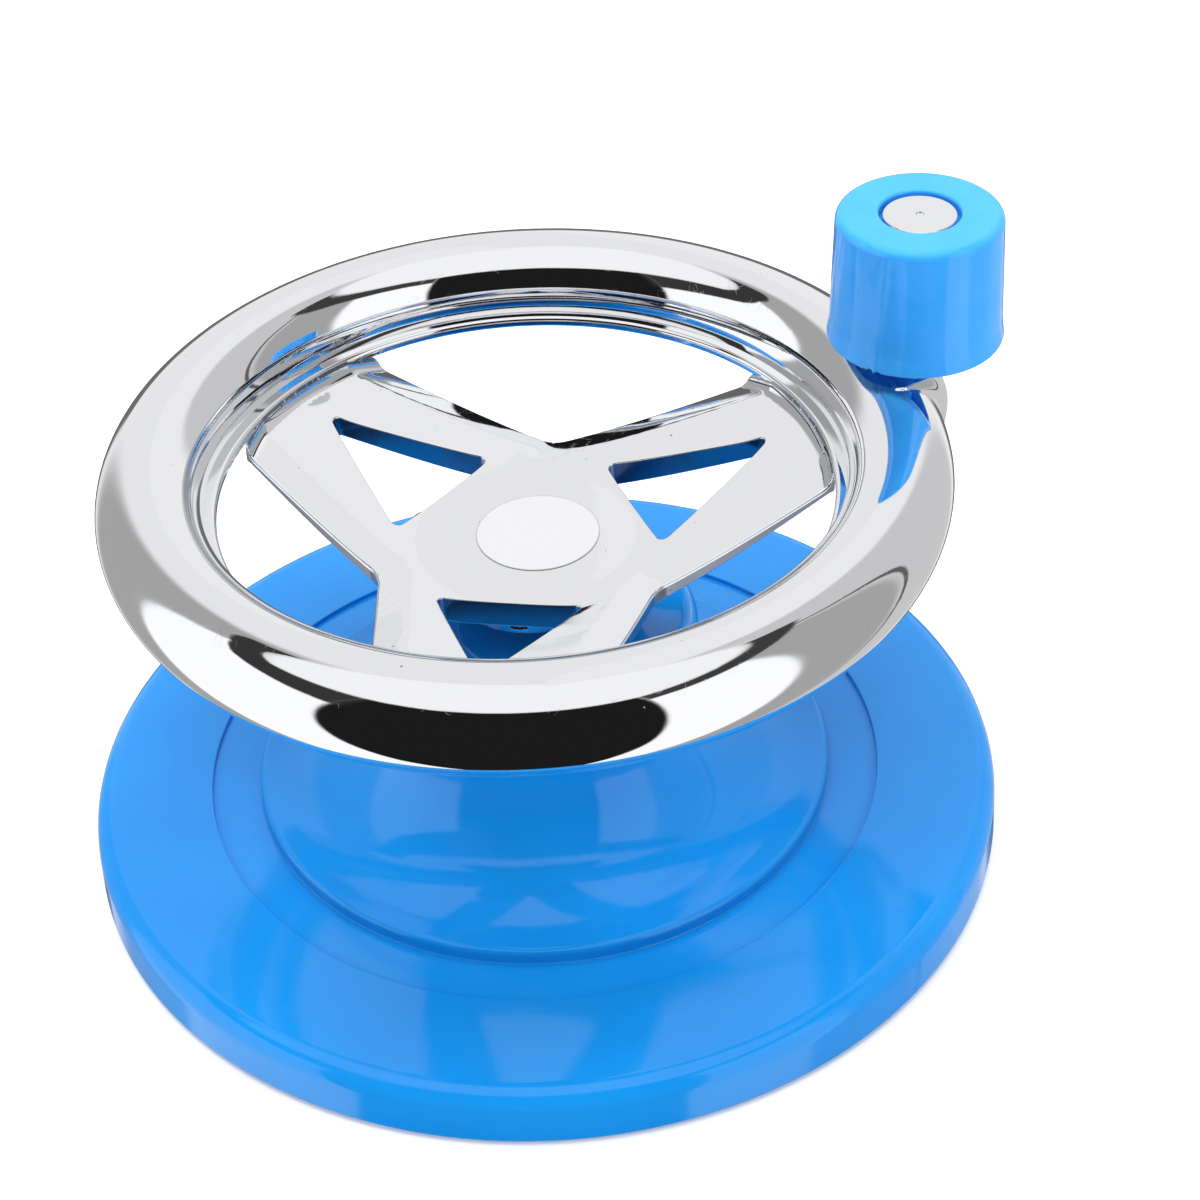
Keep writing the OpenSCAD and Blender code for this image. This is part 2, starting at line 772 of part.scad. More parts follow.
module knob_washer() {
    color(steel) translate([knob_x, 0, lug_top]) ring(pin_r + 4, pin_r, washer_t);
}

// ---- Rotors ----

module rotor(side) {
    color(alloy) at_rotor(side) translate([0, 0, rotor_z + rotor_gap])
        rotate(side > 0 ? 0 : 90) difference() {
            linear_extrude(rotor_h - 2 * rotor_gap) polygon(rotor_points);
            translate([0, 0, -past]) cylinder(r = rotor_shaft_r, h = rotor_h + 2 * past);
        }
}

module rotor_shaft(side, top) {
    color(steel) at_rotor(side) translate([0, 0, rotor_shaft_z + rotor_gap])
        cylinder(r = rotor_shaft_r, h = top - rotor_shaft_z - rotor_gap);
}

module timing_gear(side) {
    color(steel) at_rotor(side) translate([0, 0, timing_z])
        rotate(side > 0 ? 180 : 180 / timing_teeth)
            gear_blank(timing_teeth, timing_face, rotor_shaft_r);
}

module drive_pinion() {
    color(steel) at_rotor(1) translate([0, 0, gear_z])
        rotate(mesh_angle + 180 + 180 / pinion_teeth)
            gear_blank(pinion_teeth, gear_face, rotor_shaft_r);
}

pedestal_shell();
base_plate();
top_bush();
low_bush();
thrust_disc();
for (i = [0 : plate_screws - 1])
    plate_screw(i);
for (i = [0 : feet])
    foot(i);
pump_case();
pump_cover();
case_gasket();
inlet_screen();
outlet_tube();
outlet_socket();
for (i = [0 : 5])
    cover_screw(i);
wheel_rim();
wheel_web();
hub_label();
hub_screw();
main_shaft();
shaft_collar();
shaft_clip();
bull_gear();
gear_key();
knob_pin();
knob_washer();
knob();
rotor(1);  // rotor_a
rotor_shaft(1, rotor_shaft_top);  // rotor_shaft_a
timing_gear(1);  // timing_gear_a
drive_pinion();
rotor(-1);  // rotor_b
rotor_shaft(-1, timing_z + timing_face + 1);  // rotor_shaft_b
timing_gear(-1);  // timing_gear_b
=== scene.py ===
import json
import math
import bpy
import bmesh
import numpy as np
from mathutils import Vector, Matrix
from mathutils.geometry import delaunay_2d_cdt


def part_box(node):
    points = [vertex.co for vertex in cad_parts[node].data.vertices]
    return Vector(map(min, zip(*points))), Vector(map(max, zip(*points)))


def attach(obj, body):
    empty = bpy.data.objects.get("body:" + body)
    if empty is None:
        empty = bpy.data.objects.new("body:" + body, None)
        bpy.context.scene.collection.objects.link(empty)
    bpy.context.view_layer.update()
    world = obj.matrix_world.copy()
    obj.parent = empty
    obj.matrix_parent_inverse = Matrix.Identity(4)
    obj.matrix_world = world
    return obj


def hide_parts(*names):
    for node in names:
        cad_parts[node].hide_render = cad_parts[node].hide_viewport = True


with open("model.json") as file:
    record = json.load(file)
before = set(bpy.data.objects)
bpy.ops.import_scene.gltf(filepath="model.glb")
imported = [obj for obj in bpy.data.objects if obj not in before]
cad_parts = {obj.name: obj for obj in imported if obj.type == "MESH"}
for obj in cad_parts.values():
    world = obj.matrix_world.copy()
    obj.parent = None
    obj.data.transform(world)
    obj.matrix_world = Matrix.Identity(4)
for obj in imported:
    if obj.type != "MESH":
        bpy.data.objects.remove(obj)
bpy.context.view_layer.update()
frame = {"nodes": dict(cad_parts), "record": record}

# ---- Camera ----
# It looks down on the wheel from the left of the crank knob, through a long lens, and is turned a
# little about its own axis.
turn, lift, roll = math.radians(-17.2), math.radians(38.42), math.radians(2.86)
back = Vector((math.sin(turn) * math.cos(lift), -math.cos(turn) * math.cos(lift), math.sin(lift)))
level = Vector((math.cos(turn), math.sin(turn), 0))
rise = back.cross(level)
across = level * math.cos(roll) - rise * math.sin(roll)
upright = level * math.sin(roll) + rise * math.cos(roll)
lens = bpy.data.cameras.new("camera")
lens.lens = 76.5
lens.sensor_width = lens.sensor_height = 36
camera = bpy.data.objects.new("camera", lens)
stands_at = Matrix.Translation((-0.16727, -0.61148, 0.58620))
camera.matrix_world = stands_at @ Matrix((across, upright, back)).transposed().to_4x4()
bpy.context.collection.objects.link(camera)
bpy.context.scene.camera = camera


# ---- Studio ----
# A pale floor in a tent of white panels. The tent is open towards the camera, with a seam under its
# roof, and that dark opening is what draws the black bands on the chrome.
def wire(tree, kind, values=None, **settings):
    """Adds a node; its inputs take plain values or other nodes' outputs."""
    made = tree.nodes.new(kind)
    for key, value in settings.items():
        setattr(made, key, value)
    for key, value in (values or {}).items():
        if isinstance(value, bpy.types.NodeSocket):
            tree.links.new(value, made.inputs[key])
        else:
            made.inputs[key].default_value = value
    return made


def sums(tree, operation, a, b=0.0, c=0.0):
    return wire(tree, "ShaderNodeMath", {0: a, 1: b, 2: c}, operation=operation).outputs[0]


def fade(tree, value, low, high, to_low=0.0, to_high=1.0):
    """Runs smoothly from one value to another while the input goes from low to high."""
    return wire(tree, "ShaderNodeMapRange", {
        "Value": value, "From Min": low, "From Max": high, "To Min": to_low, "To Max": to_high},
        interpolation_type="SMOOTHSTEP").outputs["Result"]


# The tent is the world: directions are taken as an angle round from the camera, to the right, and a
# height over the horizon, both in degrees.
tent = bpy.data.worlds.new("tent")
tent.use_nodes = True
tree = tent.node_tree
tree.nodes.clear()
sky = wire(tree, "ShaderNodeTexCoord").outputs["Generated"]
sky = wire(tree, "ShaderNodeMapping", {"Vector": sky, "Rotation": (0, 0, -turn)},
           vector_type="POINT").outputs[0]
parts = wire(tree, "ShaderNodeSeparateXYZ", {0: sky}).outputs
height = sums(tree, "DEGREES", sums(tree, "ARCSINE", parts["Z"]))
side = sums(tree, "DEGREES", sums(tree, "ARCTAN2", parts["X"], sums(tree, "MULTIPLY", parts["Y"], -1.0)))
# The roof's edge is level in front and rises past a corner on each side.
roof_front, left_corner, left_rise, right_corner, right_rise = 49.5, 90.0, 0.27, 31.0, 0.19
to_left = sums(tree, "MULTIPLY", side, -1.0)
past_left = sums(tree, "MAXIMUM", 0.0, sums(tree, "SUBTRACT", to_left, left_corner))
past_right = sums(tree, "MAXIMUM", 0.0, sums(tree, "SUBTRACT", side, right_corner))
roof_edge = sums(tree, "ADD", roof_front, sums(tree, "MULTIPLY", left_rise, past_left))
roof_edge = sums(tree, "ADD", roof_edge, sums(tree, "MULTIPLY", right_rise, past_right))
under_roof = sums(tree, "SUBTRACT", height, roof_edge)
# On the left the gap under the roof narrows away from the camera.
gap_height, gap_from, gap_run, gap_narrows = 20.5, 60.0, 46.0, 0.30
narrowing = sums(tree, "MAXIMUM", -gap_run, sums(tree, "ADD", side, gap_from))
roof_gap = sums(tree, "ADD", gap_height, sums(tree, "MULTIPLY", gap_narrows, narrowing))
under_gap = sums(tree, "DIVIDE", under_roof, roof_gap)


def between(value, low, high, soft):
    return sums(tree, "MULTIPLY", fade(tree, value, low - soft, low + soft),
                fade(tree, value, high - soft, high + soft, 1.0, 0.0))


# Each panel: from one side angle to another, its lower and upper edge (measured up to the roof's
# edge), how soft its edges are, and how bright it is. A later one lies over the ones before it.
glow = 0.78
for left, right, low, high, soft, bright in (
        (-200, -140, -140, 90, 8, 0.88), (140, 200, -140, 90, 8, 0.92),        # back wall
        (-200, -150, -200, -70, 3, 0.16), (150, 200, -200, -74, 3, 0.16),      # dark under it
        (100, 142, -140, 0, 6, 0.62), (-142, -104, -140, 0, 10, 0.40),         # side walls
        (-106, -52, -140, 0, 3, 1.10), (31, 66, -140, 0, 2, 1.10),             # two soft boxes
        (66, 100, -140, 0, 4, 0.40), (102, 104, -140, -8, 0.7, 0.12),          # wall and its pole
        (31, 112, -9, 0, 1.5, 0.05),                                           # right gap
        (-200, 200, 1, 140, 2.5, 1.0),                                         # roof
        (-52, 31, -140, 0, 1.5, 0.012)):                                       # opening
    shape = sums(tree, "MULTIPLY", between(side, left, right, soft), between(under_roof, low, high, soft))
    glow = fade(tree, shape, 0.0, 1.0, glow, bright)
left_gap = sums(tree, "MULTIPLY", between(side, -132, -50, 4), between(under_gap, -1.0, 0.0, 0.1))
glow = fade(tree, left_gap, 0.0, 1.0, glow, 0.04)
# Seen directly, the tent is plain white.
seen = wire(tree, "ShaderNodeLightPath").outputs["Is Camera Ray"]
glow = sums(tree, "MAXIMUM", glow, seen)
light = wire(tree, "ShaderNodeBackground", {"Color": (1, 1, 1, 1), "Strength": glow})
wire(tree, "ShaderNodeOutputWorld", {"Surface": light.outputs[0]})
bpy.context.scene.world = tent
bpy.context.scene.view_settings.view_transform = "Standard"

for name, place, aim, size, power in (
        ("soft_top", (0.0, 0.25, 1.5), (0, 0, 0), (1.4, 1.2), 24),
        ("soft_left", (-1.2, -0.6, 0.9), (0, 0, 0.05), (0.6, 0.9), 7),
        ("soft_right", (0.9, -0.9, 0.8), (0, 0, 0.05), (0.5, 0.9), 6)):
    panel = bpy.data.lights.new(name, "AREA")
    panel.shape, panel.energy = "RECTANGLE", power
    panel.size, panel.size_y = size
    lamp = bpy.data.objects.new(name, panel)
    lamp.location = place
    lamp.rotation_euler = (Vector(place) - Vector(aim)).to_track_quat("Z", "Y").to_euler()
    lamp.visible_glossy = False
    bpy.context.collection.objects.link(lamp)

# The floor glows a little, so that it comes out white under the stand, and leaves the reflections to
# the tent's walls, which reach below it.
half = 3
sheet = bpy.data.meshes.new("floor")
sheet.from_pydata([(-half, -half, 0), (half, -half, 0), (half, half, 0), (-half, half, 0)], [],
                  [(0, 1, 2, 3)])
floor = bpy.data.objects.new("floor", sheet)
bpy.context.collection.objects.link(floor)
paper = bpy.data.materials.new("white_paper")
paper.use_nodes = True
for socket, value in (("Base Color", (0.93, 0.93, 0.93, 1)), ("Roughness", 0.9),
                      ("Emission Color", (1, 1, 1, 1)), ("Emission Strength", 0.12)):
    paper.node_tree.nodes["Principled BSDF"].inputs[socket].default_value = value
sheet.materials.append(paper)
floor.visible_glossy = False


# ---- Stand ----
# One blue plastic moulding: a round foot with a shallow channel, and a bell that sweeps up into the
# neck under the wheel. It was moulded glossy, and the steel shaft turns in its middle.
def finish(name, colour, rough, metal=0.0, coat=0.0):
    """A material with its shader, and Object coordinates in millimetres for its patterns."""
    made = bpy.data.materials.new(name)
    made.use_nodes = True
    tree = made.node_tree
    shader = tree.nodes["Principled BSDF"]
    shader.inputs["Base Color"].default_value = (*colour, 1)
    shader.inputs["Roughness"].default_value = rough
    shader.inputs["Metallic"].default_value = metal
    shader.inputs["Coat Weight"].default_value = coat
    place = wire(tree, "ShaderNodeTexCoord").outputs["Object"]
    place = wire(tree, "ShaderNodeMapping", {"Vector": place, "Scale": (1000, 1000, 1000)}).outputs[0]
    return made, tree, shader, place


def noise(tree, place, size, detail=3.0, stretch=(1, 1, 1)):
    """Cloudy values from 0 to 1, about so many millimetres across."""
    place = wire(tree, "ShaderNodeMapping", {"Vector": place, "Scale": stretch}).outputs[0]
    made = wire(tree, "ShaderNodeTexNoise", {"Vector": place, "Scale": 1.0 / size, "Detail": detail})
    return made.outputs["Fac"]


def specks(tree, place, size, share, reach):
    """Sparse round specks: one where a cell draws less than share, reach wide."""
    cells = wire(tree, "ShaderNodeTexVoronoi", {"Vector": place, "Scale": 1.0 / size})
    drawn = wire(tree, "ShaderNodeSeparateColor", {0: cells.outputs["Color"]}).outputs[0]
    kept = sums(tree, "LESS_THAN", drawn, share)
    return sums(tree, "MULTIPLY", kept, fade(tree, cells.outputs["Distance"], reach * 0.6, reach, 1.0, 0.0))


def scratches(tree, place, size, angle, width):
    """Hairlines that run one way, broken up by noise."""
    tilted = wire(tree, "ShaderNodeMapping", {"Vector": place, "Rotation": (0.1, 0.2, angle)}).outputs[0]
    long = noise(tree, tilted, size, 2.0, (1, 0.03, 1))
    ridge = sums(tree, "ABSOLUTE", sums(tree, "SUBTRACT", long, 0.5))
    lines = fade(tree, ridge, 0.0, width, 1.0, 0.0)
    return sums(tree, "MULTIPLY", lines, fade(tree, noise(tree, place, size * 3), 0.52, 0.6))


def tinted(tree, shader, amount, colour, other):
    """Mixes the base colour from one to another by a pattern."""
    mix = wire(tree, "ShaderNodeMix", {"Factor": amount, "A": (*colour, 1), "B": (*other, 1)},
               data_type="RGBA")
    tree.links.new(mix.outputs["Result"], shader.inputs["Base Color"])
    return mix.outputs["Result"]


def bumped(tree, shader, *layers):
    """Stacks bumps; each layer is a pattern and its depth in millimetres."""
    normal = None
    for pattern, depth in layers:
        made = wire(tree, "ShaderNodeBump", {"Height": pattern, "Distance": depth * 0.001, "Strength": 1.0})
        if normal is not None:
            tree.links.new(normal, made.inputs["Normal"])
        normal = made.outputs["Normal"]
    tree.links.new(normal, shader.inputs["Normal"])


def roughened(tree, shader, pattern, low, high):
    tree.links.new(fade(tree, pattern, 0.0, 1.0, low, high), shader.inputs["Roughness"])


def rubbed(tree, place, first, *others):
    """The strongest of several runs of scratches, each with its size, angle and width."""
    deepest = scratches(tree, place, *first)
    for line in others:
        deepest = sums(tree, "MAXIMUM", deepest, scratches(tree, place, *line))
    return deepest


def milky(shader):
    """Light goes a little way into the blue plastic."""
    for socket, value in (("IOR", 1.5), ("Subsurface Weight", 0.06),
                          ("Subsurface Radius", (0.2, 0.6, 1.0)), ("Subsurface Scale", 0.003)):
        shader.inputs[socket].default_value = value


def blue_moulding():
    flow_size = 60.0
    blue, deep, dust_blue = (0.008, 0.270, 0.74), (0.006, 0.245, 0.70), (0.35, 0.5, 0.8)
    made, tree, shader, place = finish("stand_blue", blue, 0.12)
    milky(shader)
    flow = noise(tree, place, flow_size, 3.0)
    mixed = tinted(tree, shader, fade(tree, flow, 0.35, 0.7), blue, deep)
    dust = specks(tree, place, 5.0, 0.05, 0.035)
    dusty = wire(tree, "ShaderNodeMix", {"Factor": sums(tree, "MULTIPLY", dust, 0.5), "A": mixed,
                                         "B": (*dust_blue, 1)}, data_type="RGBA")
    tree.links.new(dusty.outputs["Result"], shader.inputs["Base Color"])
    rubs = rubbed(tree, place, (9.0, 0.5, 0.004), (12.0, 2.1, 0.003))
    film = sums(tree, "MULTIPLY", noise(tree, place, 22.0), 0.5)
    roughened(tree, shader, sums(tree, "ADD", film, sums(tree, "MULTIPLY", rubs, 0.8)), 0.07, 0.20)
    bumped(tree, shader, (noise(tree, place, flow_size * 0.55, 1.0), 0.35),
           (noise(tree, place, 2.2, 2.0), 0.012), (rubs, -0.004))
    return made


def rounded(corners, closed=True):
    """An outline from corners (radius, height, rounding), in millimetres."""
    outline = []
    count = len(corners)
    for i, (r, z, rounding) in enumerate(corners):
        corner = Vector((r, z))
        if rounding <= 0 or (not closed and i in (0, count - 1)):
            outline.append((r, z))
            continue
        before = (Vector(corners[i - 1][:2]) - corner).normalized()
        after = (Vector(corners[(i + 1) % count][:2]) - corner).normalized()
        half = before.angle(after) / 2
        centre = corner + (before + after).normalized() * (rounding / math.sin(half))
        start = corner + before * (rounding / math.tan(half)) - centre
        end = corner + after * (rounding / math.tan(half)) - centre
        sweep = (math.atan2(end.y, end.x) - math.atan2(start.y, start.x) + math.pi) % (2 * math.pi) - math.pi
        steps = max(2, round(abs(sweep) / 0.2))
        for k in range(steps + 1):
            a = math.atan2(start.y, start.x) + sweep * k / steps
            outline.append((centre.x + rounding * math.cos(a), centre.y + rounding * math.sin(a)))
    return outline


def node_inputs(tree, *sockets):
    tree.interface.new_socket("Piece", in_out="OUTPUT", socket_type="NodeSocketGeometry")
    tree.interface.new_socket("Shape", in_out="INPUT", socket_type="NodeSocketGeometry")
    for name, kind in sockets:
        tree.interface.new_socket(name, in_out="INPUT", socket_type=kind)
    return wire(tree, "NodeGroupInput").outputs, wire(tree, "NodeGroupOutput").inputs


# Turns an outline about the upright axis, as a lathe or a round mould does.
turning = bpy.data.node_groups.new("turning", "GeometryNodeTree")
given, result = node_inputs(turning, ("Segments", "NodeSocketInt"), ("Core", "NodeSocketFloat"),
                            ("Finish", "NodeSocketMaterial"))
outline = wire(turning, "GeometryNodeMeshToCurve", {"Mesh": given["Shape"]})
path = wire(turning, "GeometryNodeCurvePrimitiveCircle", {
    "Resolution": given["Segments"], "Radius": given["Core"]})
swept = wire(turning, "GeometryNodeCurveToMesh", {
    "Curve": path.outputs["Curve"], "Profile Curve": outline.outputs["Curve"]})
merged = wire(turning, "GeometryNodeMergeByDistance", {
    "Geometry": swept.outputs["Mesh"], "Distance": 2e-6})
smooth = wire(turning, "GeometryNodeSetShadeSmooth", {"Geometry": merged.outputs["Geometry"]})
real = wire(turning, "GeometryNodeRealizeInstances", {"Geometry": smooth.outputs["Geometry"]})
dressed = wire(turning, "GeometryNodeSetMaterial", {
    "Geometry": real.outputs["Geometry"], "Material": given["Finish"]})
turning.links.new(dressed.outputs["Geometry"], result["Piece"])


def shown(name, mesh):
    made = bpy.data.objects.new(name, mesh)
    bpy.context.collection.objects.link(made)
    return made


def grown(piece, tree, **values):
    """Runs a node tree on a piece and keeps the plain mesh that comes out."""
    modifier = piece.modifiers.new(tree.name, "NODES")
    modifier.node_group = tree
    for key, value in values.items():
        modifier[tree.interface.items_tree[key].identifier] = value
    mesh = bpy.data.meshes.new_from_object(piece.evaluated_get(bpy.context.evaluated_depsgraph_get()))
    piece.modifiers.clear()
    piece.data = mesh
    return piece


def outward(mesh):
    """Makes every face point out of the solid."""
    shape = bmesh.new()
    shape.from_mesh(mesh)
    bmesh.ops.recalc_face_normals(shape, faces=shape.faces)
    shape.to_mesh(mesh)
    shape.free()


def polished(mesh, normals=None):
    """Shades by each corner's large faces, so flats stay flat beside their roundings."""
    count = len(mesh.vertices)
    if normals is None:
        normals = np.zeros((count, 3))
        for face in mesh.polygons:
            normals[list(face.vertices)] += np.array(face.normal) * face.area
    lengths = np.linalg.norm(normals, axis=1, keepdims=True)
    mesh.normals_split_custom_set_from_vertices(normals / np.maximum(lengths, 1e-12))


def turned(name, outline, material, axis=(0, 0), segments=128, closed=True):
    """A turned piece from its outline of (radius, height) points, in millimetres."""
    core = 0.001
    mesh = bpy.data.meshes.new(name)
    count = len(outline)
    edges = [(i, (i + 1) % count) for i in range(count if closed else count - 1)]
    mesh.from_pydata([(r * 0.001 - core, -z * 0.001, 0) for r, z in outline], edges, [])
    piece = grown(shown(name, mesh), turning, Segments=segments, Core=core, Finish=material)
    piece.data.transform(Matrix.Translation((axis[0] * 0.001, axis[1] * 0.001, 0)))
    outward(piece.data)
    polished(piece.data)
    return piece


def bow(centre, radius, first, last, steps):
    """Points along an arc, from one angle in degrees to another."""
    return [(centre[0] + radius * math.cos(math.radians(first + (last - first) * k / steps)),
             centre[1] + radius * math.sin(math.radians(first + (last - first) * k / steps)))
            for k in range(steps + 1)]


stand_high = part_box("pedestal_shell")[1]
foot, top = stand_high.x * 1000, stand_high.z * 1000
ring_w, ring_top, channel, step, bell_floor = 39.0, 20.0, 18.3, 94.0, 23.3
bell_middle, sweep, neck_r, neck_end, crown_edge = (88, 59.3), 36, 52, 76.0, 49
wall, bush_hole, rim_foot, skirt_thick = 2.6, 15.2, 1.5, 9
outside = rounded([(foot - wall, rim_foot, 0.5), (foot, rim_foot, 0.7), (foot - 0.7, ring_top, 6.6),
                   (foot - ring_w, ring_top, 0.45), (foot - ring_w, channel, 0.4), (step, channel, 0.5),
                   (step, bell_floor, 2.0), (bell_middle[0], bell_floor, 0)])
outside += bow(bell_middle, sweep, 270, 180, 40)[1:]
outside += rounded([(neck_r, bell_middle[1], 0), (neck_r, neck_end, 0), (crown_edge, top, 3.3),
                    (bush_hole, top, 0.4), (bush_hole, top - wall, 0)], closed=False)[1:]
outside += bow(bell_middle, sweep + wall, 180, 270, 20)
outside += [(step - wall, bell_floor - wall), (step - wall, channel - wall),
            (foot - ring_w + wall, channel - wall), (foot - ring_w + wall, ring_top - wall),
            (foot - skirt_thick, ring_top - wall), (foot - wall, 12)]
stand_blue = blue_moulding()
stand = turned("stand", outside, stand_blue, segments=384)
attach(stand, "stand")
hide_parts("pedestal_shell")


# ---- Base plate, feet and screws ----
# A black moulded plate closes the stand from below. Six zinc-plated cross-head screws hold it, and
# five rubber feet are pushed into its holes by their pips, one of them under the shaft.
def black_moulding():
    made, tree, shader, place = finish("black_grain", (0.022, 0.023, 0.026), 0.5)
    grain = noise(tree, place, 0.7, 4.0)
    tinted(tree, shader, fade(tree, noise(tree, place, 35.0), 0.3, 0.7),
           (0.019, 0.020, 0.023), (0.030, 0.031, 0.034))
    roughened(tree, shader, grain, 0.42, 0.6)
    bumped(tree, shader, (grain, 0.05), (noise(tree, place, 40.0, 1.0), 0.2))
    return made


def rubber_mix():
    made, tree, shader, place = finish("foot_rubber", (0.03, 0.03, 0.032), 0.8)
    bloom = noise(tree, place, 6.0, 4.0)
    tinted(tree, shader, fade(tree, bloom, 0.35, 0.75), (0.022, 0.022, 0.024), (0.052, 0.052, 0.054))
    roughened(tree, shader, bloom, 0.65, 0.9)
    bumped(tree, shader, (noise(tree, place, 0.5, 3.0), 0.03))
    return made


def zinc_plate():
    made, tree, shader, place = finish("zinc_plate", (0.70, 0.72, 0.74), 0.3, metal=1.0)
    spangle = noise(tree, place, 1.6, 4.0)
    tinted(tree, shader, fade(tree, spangle, 0.3, 0.7), (0.62, 0.64, 0.67), (0.78, 0.79, 0.79))
    roughened(tree, shader, spangle, 0.2, 0.42)
    bumped(tree, shader, (noise(tree, place, 0.4), 0.01))
    return made


# Sets copies of a piece round the upright axis.
around = bpy.data.node_groups.new("around", "GeometryNodeTree")
given, result = node_inputs(around, ("Count", "NodeSocketInt"), ("Distance", "NodeSocketFloat"),
                            ("First Turn", "NodeSocketFloat"), ("Finish", "NodeSocketMaterial"))
places = wire(around, "GeometryNodePoints", {"Count": given["Count"]})
number = wire(around, "GeometryNodeInputIndex").outputs[0]
share = sums(around, "DIVIDE", 2 * math.pi, given["Count"])
turn_each = sums(around, "ADD", sums(around, "MULTIPLY", number, share), given["First Turn"])
facing = wire(around, "ShaderNodeCombineXYZ", {"Z": turn_each}).outputs[0]
spot = wire(around, "ShaderNodeCombineXYZ", {
    "X": sums(around, "MULTIPLY", sums(around, "COSINE", turn_each), given["Distance"]),
    "Y": sums(around, "MULTIPLY", sums(around, "SINE", turn_each), given["Distance"])}).outputs[0]
moved = wire(around, "GeometryNodeSetPosition", {"Geometry": places.outputs[0], "Position": spot})
copies = wire(around, "GeometryNodeInstanceOnPoints", {
    "Points": moved.outputs[0], "Instance": given["Shape"], "Rotation": facing})
real = wire(around, "GeometryNodeRealizeInstances", {"Geometry": copies.outputs[0]})
joined = wire(around, "GeometryNodeMergeByDistance", {"Geometry": real.outputs[0], "Distance": 1e-6})
dressed = wire(around, "GeometryNodeSetMaterial", {
    "Geometry": joined.outputs[0], "Material": given["Finish"]})
around.links.new(dressed.outputs["Geometry"], result["Piece"])


sharp = math.radians(40)


def carved(piece, cutter, **settings):
    """Cuts a shape out of a piece, and shades what is left by its sharp edges."""
    tool_mesh = bpy.data.meshes.new("cutter")
    cutter.to_mesh(tool_mesh)
    cutter.free()
    tool = shown("cutter", tool_mesh)
    modifier = piece.modifiers.new("cut", "BOOLEAN")
    modifier.object, modifier.solver = tool, "EXACT"
    for key, value in settings.items():
        setattr(modifier, key, value)
    piece.data = bpy.data.meshes.new_from_object(piece.evaluated_get(bpy.context.evaluated_depsgraph_get()))
    piece.modifiers.clear()
    bpy.data.objects.remove(tool)
    piece.data.shade_smooth()
    piece.data.set_sharp_from_angle(angle=sharp)


def cross_screw(name, radius, head_r, head_h, length, material):
    """A pan-head screw with a cross recess and a thread, head downwards, its seat at zero height."""
    thread = [(radius * 0.98, 0.0)]
    pitch = radius * 0.4
    turns = int(length / pitch) - 2
    for k in range(turns):
        thread += [(radius, (k + 0.45) * pitch), (radius * 0.8, (k + 0.9) * pitch)]
    outline = rounded([(0, -head_h, 0), (head_r * 0.55, -head_h, head_h),
                       (head_r, -head_h * 0.25, head_h * 0.25), (head_r, 0, 0.1)], closed=False)
    outline += thread + [(radius * 0.5, length - 0.3), (0, length)]
    piece = turned(name, outline, material, segments=40, closed=False)
    cutter = bmesh.new()
    for turn_about in (0, math.pi / 2):
        made = bmesh.ops.create_cube(cutter, size=1.0)["verts"]
        bmesh.ops.scale(cutter, verts=made, vec=(head_r * 0.0011, head_r * 0.0002, head_h * 0.0014))
        for corner in made:
            if corner.co.z > 0:
                corner.co.x *= 0.35
        bmesh.ops.rotate(cutter, verts=made, matrix=Matrix.Rotation(turn_about, 3, "Z"))
        bmesh.ops.translate(cutter, verts=made, vec=(0, 0, -head_h * 0.001))
    carved(piece, cutter, use_self=True)
    return piece


black_grain, foot_rubber, zinc = black_moulding(), rubber_mix(), zinc_plate()
screw_low, screw_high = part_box("plate_screw_1")
screw_x, seat_z = (screw_low.x + screw_high.x) / 2, 3.0
thread_r, head_r, head_h, screw_l = 2.0, 3.8, 1.6, 10.0
plate_screws = cross_screw("plate_screws", thread_r, head_r, head_h, screw_l, zinc)
plate_screws.data.transform(Matrix.Translation((0, 0, seat_z * 0.001)))
grown(plate_screws, around, **{"Count": 6, "Distance": screw_x, "First Turn": 0.0, "Finish": zinc})
plate_screws.data.set_sharp_from_angle(angle=sharp)
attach(plate_screws, "stand")
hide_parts(*[f"plate_screw_{k}" for k in range(1, 7)])

pip_r, pip_top, groove, feet_from_middle = 3, 5.0, 0.5, 0.1
foot_outline = rounded([(0, pip_top, 0), (pip_r, pip_top, 0.4), (pip_r, seat_z, 0), (11, seat_z, 0.6),
                        (12, 0, 0.9), (9.2, 0, 0.3), (8.9, groove, 0.2), (7.9, groove, 0.2), (7.6, 0, 0.3),
                        (5.2, 0, 0.3), (4.9, groove, 0.2), (3.9, groove, 0.2), (3.6, 0, 0.3), (0, 0, 0)],
                       closed=False)
outer_feet = turned("outer_feet", foot_outline, foot_rubber, segments=64, closed=False)
grown(outer_feet, around, **{"Count": 4, "Distance": feet_from_middle, "First Turn": math.pi / 4,
                             "Finish": foot_rubber})
outward(outer_feet.data)
polished(outer_feet.data)
middle_foot = turned("middle_foot", foot_outline, foot_rubber, segments=64, closed=False)
for piece, nodes in ((outer_feet, [f"foot_{k}" for k in range(1, 5)]), (middle_foot, ["foot_5"])):
    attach(piece, "stand")
    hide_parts(*nodes)


# ---- Bearings ----
# Sintered bronze bushes carry the shaft; the upper one shows its flange on the neck, and a turned
# steel collar sits on the shaft over it.
def sintered_bronze():
    made, tree, shader, place = finish("sintered_bronze", (0.52, 0.33, 0.15), 0.38, metal=1.0)
    pores = specks(tree, place, 0.5, 0.35, 0.3)
    tinted(tree, shader, pores, (0.54, 0.35, 0.17), (0.16, 0.10, 0.05))
    roughened(tree, shader, noise(tree, place, 3.0), 0.3, 0.5)
    bumped(tree, shader, (pores, -0.03))
    return made


